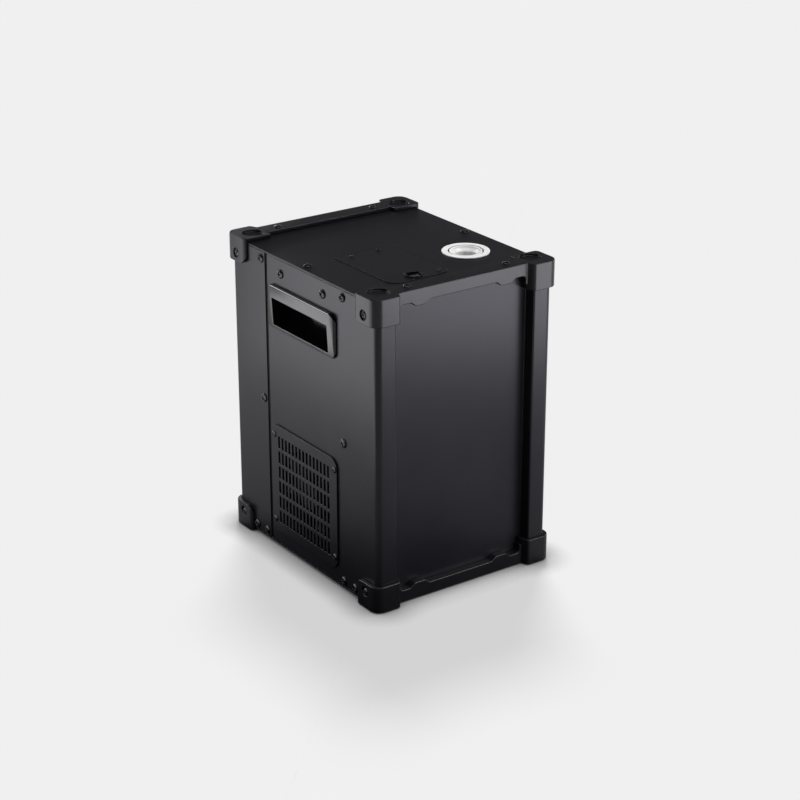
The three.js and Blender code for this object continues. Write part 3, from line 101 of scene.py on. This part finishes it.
def addColourMix(tree, share, low, high):
    node = addNode(tree, "ShaderNodeMix")
    node.data_type = "RGBA"
    feed(tree, node.inputs["A"], (*low, opaque))
    feed(tree, node.inputs["B"], (*high, opaque))
    feed(tree, node.inputs["Factor"], share)
    return node.outputs["Result"]


def addRange(tree, source, before, after):
    # Maps the range before onto the range after, and holds what lies beyond it
    node = addNode(tree, "ShaderNodeMapRange", Value=source, From_Min=before[0], From_Max=before[1],
                   To_Min=after[0], To_Max=after[1])
    return node


def startTree(tree):
    tree.nodes.clear()
    return addNode(tree, "ShaderNodeOutputMaterial")


# Finishes, one for each material slot of the record; sizes in mm
# Every finish has three noises: drift changes the colour, patches the roughness, and grain lifts the surface
noiseSettings = {
    "roughness": 0.55, "middle": (0.3, 0.7),  # the middle of a noise, which is spread over a finish's range
    "driftDetail": 3.0, "patchDetail": 4.0, "grainDetail": 2.0,
}
finishSettings = {
    "powder_coat": {
        "dark": (0.0056, 0.0056, 0.0072), "light": (0.0078, 0.0078, 0.0098), "driftSize": 70.0,
        "roughness": (0.29, 0.31), "patchSize": 35.0, "grainSize": 0.7, "grainHeight": 0.02,
        "sockets": {"Specular IOR Level": 0.19, "Specular Tint": (0.93, 0.92, 1.0, 1.0)},
    },
    "moulded_black": {
        "dark": (0.005, 0.005, 0.006), "light": (0.007, 0.007, 0.0082), "driftSize": 30.0,
        "roughness": (0.28, 0.3), "patchSize": 14.0, "grainSize": 0.45, "grainHeight": 0.015,
        "sockets": {"Specular IOR Level": 0.22, "Specular Tint": (0.95, 0.94, 1.0, 1.0)},
    },
    "dark_gloss": {
        "dark": (0.0016, 0.0016, 0.0018), "light": (0.0026, 0.0026, 0.0029), "driftSize": 25.0,
        "roughness": (0.1, 0.15), "patchSize": 10.0, "grainSize": 0.9, "grainHeight": 0.006,
        "sockets": {"Specular IOR Level": 0.3},
    },
    "fan_black": {
        "dark": (0.012, 0.012, 0.013), "light": (0.018, 0.018, 0.019), "driftSize": 20.0,
        "roughness": (0.38, 0.48), "patchSize": 9.0, "grainSize": 0.4, "grainHeight": 0.015,
    },
    "white_enamel": {
        "dark": (0.74, 0.74, 0.73), "light": (0.84, 0.84, 0.835), "driftSize": 9.0,
        "roughness": (0.28, 0.4), "patchSize": 5.0, "grainSize": 0.5, "grainHeight": 0.01,
    },
    "steel": {
        "dark": (0.46, 0.465, 0.475), "light": (0.58, 0.585, 0.595), "driftSize": 6.0,
        "roughness": (0.24, 0.36), "patchSize": 4.0, "grainSize": 0.25, "grainHeight": 0.006,
        "stretch": (1.0, 1.0, 9.0), "sockets": {"Metallic": 1.0},
    },
    "aluminium": {
        "dark": (0.6, 0.605, 0.61), "light": (0.7, 0.705, 0.71), "driftSize": 16.0,
        "roughness": (0.34, 0.44), "patchSize": 8.0, "grainSize": 0.22, "grainHeight": 0.008,
        "stretch": (12.0, 1.0, 1.0), "sockets": {"Metallic": 1.0},
    },
    "copper": {
        "dark": (0.6, 0.28, 0.16), "light": (0.76, 0.42, 0.26), "driftSize": 7.0,
        "roughness": (0.24, 0.38), "patchSize": 4.0, "grainSize": 0.3, "grainHeight": 0.008,
        "sockets": {"Metallic": 1.0},
    },
    "brass": {
        "dark": (0.58, 0.43, 0.19), "light": (0.72, 0.57, 0.29), "driftSize": 6.0,
        "roughness": (0.26, 0.36), "patchSize": 4.0, "grainSize": 0.25, "grainHeight": 0.007,
        "sockets": {"Metallic": 1.0},
    },
    "ceramic": {
        "dark": (0.72, 0.68, 0.6), "light": (0.84, 0.81, 0.75), "driftSize": 8.0,
        "roughness": (0.75, 0.9), "patchSize": 5.0, "grainSize": 0.9, "grainHeight": 0.12,
        "stretch": (3.0, 3.0, 1.0),
    },
    "rubber": {
        "dark": (0.016, 0.016, 0.016), "light": (0.024, 0.024, 0.024), "driftSize": 8.0,
        "roughness": (0.6, 0.74), "patchSize": 5.0, "grainSize": 0.35, "grainHeight": 0.02,
    },
    "circuit_board": {
        "dark": (0.012, 0.085, 0.03), "light": (0.03, 0.15, 0.06), "driftSize": 5.0,
        "roughness": (0.28, 0.42), "patchSize": 4.0, "grainSize": 0.5, "grainHeight": 0.02,
    },
    "display_glass": {
        "dark": (0.004, 0.006, 0.009), "light": (0.007, 0.01, 0.014), "driftSize": 20.0,
        "roughness": (0.06, 0.1), "patchSize": 12.0, "grainSize": 4.0, "grainHeight": 0.002,
        "sockets": {"Coat Weight": 0.5, "Coat Roughness": 0.04},
    },
}


def addNoise(tree, source, size, detail, stretch=(1.0, 1.0, 1.0)):
    # Noise whose lumps measure about size, in mm, stretched along the axes
    mapping = addNode(tree, "ShaderNodeMapping", Vector=source, Scale=[1.0 / value for value in stretch])
    texture = addNode(tree, "ShaderNodeTexNoise", Vector=mapping.outputs["Vector"], Scale=1.0 / (size * mm),
                      Detail=detail, Roughness=noiseSettings["roughness"])
    return texture.outputs["Fac"]


def makeFinish(name, settings):
    material = bpy.data.materials.new(name)
    material.use_nodes = True
    tree = material.node_tree
    output = startTree(tree)
    shader = addNode(tree, "ShaderNodeBsdfPrincipled")
    feed(tree, output.inputs["Surface"], shader.outputs["BSDF"])
    source = addNode(tree, "ShaderNodeTexCoord").outputs["Object"]
    middle = noiseSettings["middle"]
    drift = addNoise(tree, source, settings["driftSize"], noiseSettings["driftDetail"])
    share = addRange(tree, drift, middle, (0.0, 1.0)).outputs["Result"]
    feed(tree, shader.inputs["Base Color"], addColourMix(tree, share, settings["dark"], settings["light"]))
    patches = addNoise(tree, source, settings["patchSize"], noiseSettings["patchDetail"])
    rough = addRange(tree, patches, middle, settings["roughness"]).outputs["Result"]
    feed(tree, shader.inputs["Roughness"], rough)
    grain = addNoise(tree, source, settings["grainSize"], noiseSettings["grainDetail"],
                     settings.get("stretch", (1.0, 1.0, 1.0)))
    bump = addNode(tree, "ShaderNodeBump", Height=grain, Distance=settings["grainHeight"] * mm)
    feed(tree, shader.inputs["Normal"], bump.outputs["Normal"])
    for socket, value in settings.get("sockets", {}).items():
        shader.inputs[socket].default_value = value
    return material


finishes = {slot: makeFinish(slot + "_finish", settings) for slot, settings in finishSettings.items()}
for piece in nodes.values():
    piece.data.materials[0] = finishes[piece.data.materials[0].name]
print("finishes made:", len(finishes))


# New pieces: a grid of points, rows by steps, that closes round each row
def smoothFaces(mesh):
    mesh.polygons.foreach_set("use_smooth", np.ones(len(mesh.polygons), dtype=bool))


def addPiece(name, points, faces, body, slot):
    # Points in mm; those that fall on one place become one, so that poles close
    closest = 1e-7
    mesh = bpy.data.meshes.new(name)
    mesh.from_pydata((points * mm).tolist(), [], faces)
    work = bmesh.new()
    work.from_mesh(mesh)
    bmesh.ops.remove_doubles(work, verts=work.verts, dist=closest)
    bmesh.ops.recalc_face_normals(work, faces=work.faces)
    work.to_mesh(mesh)
    work.free()
    smoothFaces(mesh)
    piece = bpy.data.objects.new(name, mesh)
    bpy.context.scene.collection.objects.link(piece)
    mesh.materials.append(finishes[slot])
    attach(piece, body)
    return piece


def gridFaces(rows, steps, looped):
    # Quads between neighbouring rows; the last row joins the first one where looped
    row, step = np.meshgrid(np.arange(rows if looped else rows - 1), np.arange(steps), indexing="ij")
    below, ahead = (row + 1) % rows, (step + 1) % steps
    quads = [row * steps + step, row * steps + ahead, below * steps + ahead, below * steps + step]
    return np.stack(quads, -1).reshape(-1, len(quads))


def circleAngles(steps):
    return np.linspace(0.0, 2 * np.pi, steps, endpoint=False)


# Screws: pan heads with a cross recess; sizes in mm
# The fuse holder's cap has the same form, with one slot and a long stem
screwHead = {
    "radius": 4.5, "height": 2.2, "rim": 0.8, "power": 2.6, "sunk": 0.2, "arm": 2.5, "armHalf": 0.55,
    "soft": 0.35, "depth": 1.5, "cross": 1.0, "rows": 16, "steps": 56, "stem": (0.0, 0.2), "turnStep": 37.0,
}
fuseCap = {
    "radius": 8.0, "height": 6.0, "rim": 4.4, "power": 10.0, "sunk": 0.0, "arm": 4.6, "armHalf": 0.7,
    "soft": 0.35, "depth": 1.5, "cross": 0.0, "rows": 56, "steps": 96, "stem": (5.9, 26.0), "turnStep": 0.0,
    "place": (0.0, 111.3, 66.0),
}


def headShape(settings, scale):
    # Height at radius r: rim + (height - rim) (1 - (r / R)^power),
    # less the recess where |u| < arm and |v| < armHalf
    share = np.linspace(0.0, 1.0, settings["rows"])[:, None]
    angle = circleAngles(settings["steps"])[None, :]
    x, y = settings["radius"] * share * np.cos(angle), settings["radius"] * share * np.sin(angle)

    def within(half, distance):
        # 1 inside the half width and 0 outside it, over the soft edge
        return np.clip((half - np.abs(distance)) / settings["soft"] + 0.5, 0.0, 1.0)

    def arm(u, v):
        return within(settings["arm"], u) * within(settings["armHalf"], v)

    crown = settings["rim"] + (settings["height"] - settings["rim"]) * (1.0 - share ** settings["power"])
    z = crown - settings["depth"] * np.maximum(arm(x, y), settings["cross"] * arm(y, x))
    top = np.stack([x, y, z], -1)
    thin, low = settings["stem"]
    stemShare = thin / settings["radius"]
    levels = [(1.0, -settings["sunk"]), (stemShare, -settings["sunk"]), (stemShare, -low), (0.0, -low)]
    rim = np.stack([x[-1:], y[-1:], 0 * z[-1:]], -1)
    base = [rim * width + [0.0, 0.0, level / scale] for width, level in levels]
    return np.concatenate([top, *base]) * scale


def addScrews(name, body, spots, facing, scale=1.0, spin=0.0, slot="dark_gloss", head=screwHead):
    # Copies the head to each spot, with its axis along the facing direction and turned about it
    shape = headShape(head, scale)
    rows, steps = shape.shape[:2]
    axis = Vector(facing).normalized()
    places = np.array(spots, dtype=float)
    upright = axis.to_track_quat("Z", "Y").to_matrix()
    turns = [Matrix.Rotation(math.radians(spin + head["turnStep"] * i), 3, axis) @ upright
             for i in range(len(places))]
    copies = np.einsum("nij,rsj->nrsi", np.array([[list(row) for row in turn] for turn in turns]), shape)
    copies = copies + places[:, None, None, :]
    faces = gridFaces(rows, steps, False)
    faces = faces[None] + (np.arange(len(places)) * rows * steps)[:, None, None]
    return addPiece(name, copies.reshape(-1, 3), faces.reshape(-1, faces.shape[-1]).tolist(), body, slot)


# Spots of screws on the sides are (y, z) at the level x, and those on the top are (x, y) at the level z
sideScrews = {
    "side_screws_": {
        "level": 99.5, "scale": 1.0, "spin": 0.0,
        "spots": [(35.3, 290.3), (-36.5, 291.0), (-68.6, 297.0), (-68.6, 154.0), (-67.6, 11.2), (-86.2, 11.2),
                  (70.0, 296.6), (70.0, 153.6), (69.8, 11.2), (88.5, 11.2)],
    },
    "tab_screws_": {
        "level": 102.1, "scale": 0.86, "spin": 20.0,
        "spots": [(y, z) for y in (-108.3, 108.3) for z in (292.5, 17.5)],
    },
    "vent_screws_": {
        "level": 101.3, "scale": 0.72, "spin": 0.0,
        "spots": [(50.4, 122.6), (50.4, 32.0), (-54.9, 122.6), (-54.9, 32.0)],
    },
}
upperScrews = {
    "top_screws": {
        "body": "case", "level": 305.7, "scale": 0.9, "spin": 0.0,
        "spots": [(-90.8, 1.4), (90.8, 1.4)],
    },
    "bar_screws": {
        "body": "case", "level": 309.8, "scale": 0.8, "spin": 15.0,
        "spots": [(x, y) for x in (-56.0, 56.0) for y in (-108.2, 108.2)],
    },
    "lid_screws": {
        "body": "lid", "level": 306.1, "scale": 0.5, "spin": 0.0,
        "spots": [(-41.8, 1.1), (-10.8, 1.4), (1.0, -79.2)],
    },
}
for side, word in ((-1, "left"), (1, "right")):
    for name, settings in sideScrews.items():
        spots = [(side * settings["level"], y, z) for y, z in settings["spots"]]
        addScrews(name + word, "case", spots, (side, 0, 0), settings["scale"], settings["spin"])
for name, settings in upperScrews.items():
    spots = [(x, y, settings["level"]) for x, y in settings["spots"]]
    addScrews(name, settings["body"], spots, (0, 0, 1), settings["scale"], settings["spin"])
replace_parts(addScrews("fuse_cap", "case", [fuseCap["place"]], (0, 1, 0), head=fuseCap), "fuse_holder")
print("screws placed")


# Nozzle and latch, turned about their axes; each profile lists (r, h) in mm, with the rounding of each corner
nozzle = {
    "centre": (54.3, -49.0, 0.0), "steps": 120,
    "flange": [(17.3, 300.0), (18.4, 300.0), (18.4, 306.0), (23.0, 306.0), (23.0, 307.3), (17.3, 307.3)],
    "flangeRounds": [0.3, 0.3, 0.3, 0.3, 0.7, 0.3],
    "tube": [(11.5, 296.9), (15.8, 296.9), (15.8, 307.0), (14.4, 307.0), (14.0, 305.4), (11.5, 302.4)],
    "tubeRounds": [0.3, 0.3, 0.4, 0.5, 0.5, 0.8],
    # The next profile is a dark rubber ring set into the groove between flange and tube, painted shade that
    # stands in for the groove's shade
    "seal": [(15.9, 303.5), (17.2, 303.5), (17.2, 306.2), (15.9, 306.2)],
    "sealRounds": 0.2,
}
latch = {
    "centre": (-26.0, -76.8, 306.1), "steps": 96,
    "rim": [(2.9, -5.6), (8.0, -5.6), (8.0, 0.3), (9.2, 0.3), (9.2, 1.1), (6.9, 1.1), (6.7, -3.2),
            (2.9, -3.2)],
    "rimRounds": [0.2, 0.3, 0.2, 0.2, 0.5, 0.5, 0.5, 0.2],
}


def roundProfile(points, radii, steps=5, longest=0.48):
    # Replaces each corner of a closed profile by a curve between two points at its radius from the corner, or
    # at the longest share of a short side: p(t) = (1 - t)^2 a + 2 t (1 - t) corner + t^2 b
    corners = np.array(points, dtype=float)
    radii = np.broadcast_to(np.asarray(radii, dtype=float), (len(corners),))[:, None]
    before, after = np.roll(corners, 1, axis=0) - corners, np.roll(corners, -1, axis=0) - corners
    lengthBefore = np.linalg.norm(before, axis=1, keepdims=True)
    lengthAfter = np.linalg.norm(after, axis=1, keepdims=True)
    reach = np.minimum(radii, longest * np.minimum(lengthBefore, lengthAfter))
    start, end = corners + before / lengthBefore * reach, corners + after / lengthAfter * reach
    t = np.linspace(0.0, 1.0, steps)[None, :, None]
    curve = (1 - t) ** 2 * start[:, None] + 2 * t * (1 - t) * corners[:, None] + t ** 2 * end[:, None]
    return curve.reshape(-1, 2)


def addTurned(name, settings, part, body, slot):
    # x = centre + r cos a, y = centre + r sin a, z = centre + h, for each point (r, h) of the part's profile
    profile = roundProfile(settings[part], settings[part + "Rounds"])
    centre, angle = settings["centre"], circleAngles(settings["steps"])
    radius, height = profile[:, :1], profile[:, 1:]
    points = np.stack([centre[0] + radius * np.cos(angle), centre[1] + radius * np.sin(angle),
                       centre[2] + height + 0 * angle], -1)
    faces = gridFaces(len(profile), len(angle), True).tolist()
    return addPiece(name, points.reshape(-1, 3), faces, body, slot)


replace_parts(addTurned("nozzle_flange", nozzle, "flange", "case", "white_enamel"), "nozzle_ring")
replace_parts(addTurned("nozzle_tube", nozzle, "tube", "case", "white_enamel"), "nozzle_liner")
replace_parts(addTurned("latch_rim", latch, "rim", "lid", "dark_gloss"), "latch_cup")
# A dark rubber ring in the groove between flange and tube, painted shade for the groove
addTurned("nozzle_seal", nozzle, "seal", "case", "rubber")
print("turned rings made")


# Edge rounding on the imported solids: plain width, and the widths of the nodes that differ, in mm
# Thin blades, slots and frames have small widths, because a wider one would cross itself
rounding = {
    "angle": 38.0, "steps": 3, "plain": 0.35,
    "weld": 1e-6,        # m, joins the triangles' corners
    "flat": 0.3,         # degrees, below which neighbouring triangles become one face
    "normalWeight": 60,
    "replaced": ("nozzle_ring", "nozzle_liner", "latch_cup", "fuse_holder"),
    "bezel_front_top": 0.7, "bezel_rear_top": 0.7, "bezel_front_bottom": 0.7, "bezel_rear_bottom": 0.7,
    "handle_left": 0.5, "handle_right": 0.5, "lid": 0.25, "top_plate": 0.6, "front_shell": 0.8,
    "rear_shell": 0.5, "vent_grille_left": 0.3, "vent_grille_right": 0.3, "base_plate": 0.12,
    "control_panel": 0.3, "power_rocker": 0.5, "switch_frame": 0.5, "duct_collar": 0.2,
    "fan_frame_left": 0.25, "fan_frame_right": 0.25, "fan_rotor_left": 0.12, "fan_rotor_right": 0.12,
}


def softenEdges(piece, width, settings):
    # Welds the triangles, clears flat faces of extra lines, then rounds every edge sharper than the angle
    smoothFaces(piece.data)
    piece.modifiers.new("weld", "WELD").merge_threshold = settings["weld"]
    flat = piece.modifiers.new("flat", "DECIMATE")
    flat.decimate_type = "DISSOLVE"
    flat.angle_limit = math.radians(settings["flat"])
    edge = piece.modifiers.new("edge", "BEVEL")
    edge.width = width * mm
    edge.segments = settings["steps"]
    edge.limit_method = "ANGLE"
    edge.angle_limit = math.radians(settings["angle"])
    edge.use_clamp_overlap = False
    piece.modifiers.new("normals", "WEIGHTED_NORMAL").weight = settings["normalWeight"]


for name, piece in nodes.items():
    if name not in rounding["replaced"]:
        softenEdges(piece, rounding.get(name, rounding["plain"]), rounding)
print("edges rounded")


# Floor and background, in m; contact and mirrored paint shade into the floor's tone near the object, a
# painted contact shadow that the camera sees and painted shade in the floor that glossy surfaces mirror: how
# far off the object each reaches, and how steeply
floorSettings = {
    "reach": 60.0, "tone": (0.871, 0.871, 0.871), "shadow": 0.272, "plain": (0.5, 0.5, 0.5, 1.0),
    "contact": (0.03, 1.5), "mirrored": (0.6, 4.0), "samples": 4,
}


def addPaintedFloorShade(tree, settings, key):
    # Painted shade for the floor's tone: falls from 1 on the open floor towards 0 at the foot of the object,
    # as the share of open sky, to a power
    distance, power = settings[key]
    cover = addNode(tree, "ShaderNodeAmbientOcclusion", Distance=distance)
    cover.samples = settings["samples"]
    return addMath(tree, "POWER", cover.outputs["AO"], power)


def makeFloorFinish(settings):
    # Camera, glossy and transmission rays meet the pale tone, darkened near the object by painted shade, and
    # all other rays a plain grey
    material = bpy.data.materials.new("floorFinish")
    material.use_nodes = True
    tree = material.node_tree
    output = startTree(tree)
    path = addNode(tree, "ShaderNodeLightPath").outputs
    seenRays = addMath(tree, "MAXIMUM", path["Is Camera Ray"], path["Is Glossy Ray"])
    seenRays = addMath(tree, "MAXIMUM", seenRays, path["Is Transmission Ray"])
    # Painted shade: the floor's tone is scaled by occlusion to a power, a painted contact shadow for camera
    # rays and darker painted shade for the rays that surfaces mirror
    paintedShadeShare = addNode(tree, "ShaderNodeMix", Factor=path["Is Camera Ray"],
                       A=addPaintedFloorShade(tree, settings, "mirrored"), B=addPaintedFloorShade(tree, settings, "contact"))
    tone = addNode(tree, "ShaderNodeVectorMath")
    tone.operation = "SCALE"
    tone.inputs[0].default_value = settings["tone"]
    feed(tree, tone.inputs["Scale"], paintedShadeShare.outputs["Result"])
    glow = addNode(tree, "ShaderNodeEmission", Color=tone.outputs[0])
    shade = addNode(tree, "ShaderNodeBsdfDiffuse", Color=tone.outputs[0])
    # The camera sees the given share of the shadow, and surfaces that mirror the floor see all of it
    shadow = addMath(tree, "MULTIPLY_ADD", path["Is Camera Ray"], settings["shadow"] - 1.0, 1.0)
    plain = addNode(tree, "ShaderNodeBsdfDiffuse", Color=settings["plain"])
    seen = addNode(tree, "ShaderNodeMixShader")
    for socket, value in zip(seen.inputs, (shadow, glow.outputs[0], shade.outputs[0])):
        feed(tree, socket, value)
    choice = addNode(tree, "ShaderNodeMixShader")
    for socket, value in zip(choice.inputs, (seenRays, plain.outputs[0], seen.outputs[0])):
        feed(tree, socket, value)
    feed(tree, output.inputs["Surface"], choice.outputs[0])
    return material


def addFloor(settings):
    reach = settings["reach"]
    mesh = bpy.data.meshes.new("floor")
    mesh.from_pydata([(-reach, -reach, 0.0), (reach, -reach, 0.0), (reach, reach, 0.0), (-reach, reach, 0.0)],
                     [], [(0, 1, 2, 3)])
    piece = bpy.data.objects.new("floor", mesh)
    bpy.context.scene.collection.objects.link(piece)
    mesh.materials.append(makeFloorFinish(settings))
    return piece


floor = addFloor(floorSettings)
worldSettings = {"tone": (0.871, 0.871, 0.871), "light": (0.07, 0.07, 0.075), "band": (0.03, 0.2)}


def addWorld(settings):
    # The camera sees the floor's pale tone all round. Mirrors and glass see it up to the band over the
    # horizon, where it fades to the dim light that all else gets:
    # share = max(camera, max(glossy, glass) x band)
    world = bpy.data.worlds.new("studio")
    bpy.context.scene.world = world
    world.use_nodes = True
    tree = world.node_tree
    coordinates = addNode(tree, "ShaderNodeTexCoord")
    split = addNode(tree, "ShaderNodeSeparateXYZ", Vector=coordinates.outputs["Generated"])
    band = addRange(tree, split.outputs["Z"], settings["band"], (1.0, 0.0))
    band.interpolation_type = "SMOOTHSTEP"
    path = addNode(tree, "ShaderNodeLightPath").outputs
    mirrored = addMath(tree, "MAXIMUM", path["Is Glossy Ray"], path["Is Transmission Ray"])
    mirrored = addMath(tree, "MULTIPLY", mirrored, band.outputs["Result"])
    share = addMath(tree, "MAXIMUM", mirrored, path["Is Camera Ray"])
    feed(tree, tree.nodes["Background"].inputs["Color"],
         addColourMix(tree, share, settings["light"], settings["tone"]))


addWorld(worldSettings)


# Lamps: soft boxes that each face of the object mirrors, and one lamp behind that only throws the object's
# shadow on the floor; places and sizes in m, power in W
lamps = {
    "sideBox": {"place": (-0.36, 0.21, 0.16), "aim": (-0.104, 0.21, 0.16), "size": (0.56, 0.28), "power": 1.5,
                "tone": (0.97, 0.96, 1.0)},
    "frontBox": {"place": (0.27, -0.55, 0.2), "aim": (0.02, -0.12, 0.18), "size": (0.55, 0.3), "power": 3.9,
                 "tone": (0.97, 0.96, 1.0)},
    "highLeft": {"place": (-0.75, 1.3, 1.05), "aim": (-0.1, 0.0, 0.3), "size": (0.5, 0.5), "power": 10.0},
    "highFront": {"place": (0.75, -0.65, 1.5), "aim": (0.0, -0.1, 0.3), "size": (0.5, 0.5), "power": 14.0},
    "topBox": {"place": (-0.1, -0.2, 1.6), "aim": (0.0, 0.0, 0.3), "size": (1.0, 1.0), "power": 10.0},
    "rearBox": {"place": (0.15, 1.1, 0.24), "aim": (0.0, 0.12, 0.2), "size": (0.7, 0.4), "power": 4.0},
    "rightBox": {"place": (1.3, -0.1, 0.35), "aim": (0.1, 0.0, 0.2), "size": (0.7, 0.7), "power": 4.0},
}
shadowLamp = {"from": (0.323, 0.456, 0.829), "angle": 16.0, "level": 0.93}


def floorGroup(name, state):
    # A light linking group that holds the floor alone or everything but the floor
    group = bpy.data.collections.new(name)
    group.objects.link(floor)
    group.collection_objects[0].light_linking.link_state = state
    return group


def addLamp(name, settings, receivers):
    data = bpy.data.lights.new(name, "AREA")
    data.shape = "RECTANGLE"
    data.size, data.size_y = settings["size"]
    data.energy = settings["power"]
    data.color = settings.get("tone", (1.0, 1.0, 1.0))
    lamp = bpy.data.objects.new(name, data)
    lamp.location = settings["place"]
    towards = Vector(settings["aim"]) - Vector(settings["place"])
    lamp.rotation_euler = towards.to_track_quat("-Z", "Y").to_euler()
    lamp.visible_camera = False
    bpy.context.scene.collection.objects.link(lamp)
    lamp.light_linking.receiver_collection = receivers


def addShadowLamp(settings, receivers):
    # A sun of strength pi, divided by the cosine of its slant, lights the floor's own tone in the open
    data = bpy.data.lights.new("shadowLamp", "SUN")
    data.energy = math.pi * settings["level"] / Vector(settings["from"]).normalized().z
    data.angle = math.radians(settings["angle"])
    lamp = bpy.data.objects.new("shadowLamp", data)
    lamp.rotation_euler = Vector(settings["from"]).to_track_quat("Z", "Y").to_euler()
    bpy.context.scene.collection.objects.link(lamp)
    lamp.light_linking.receiver_collection = receivers


notFloor = floorGroup("notFloor", "EXCLUDE")
for name, settings in lamps.items():
    addLamp(name, settings, notFloor)
addShadowLamp(shadowLamp, floorGroup("floorOnly", "INCLUDE"))
print("floor, world and lamps set")
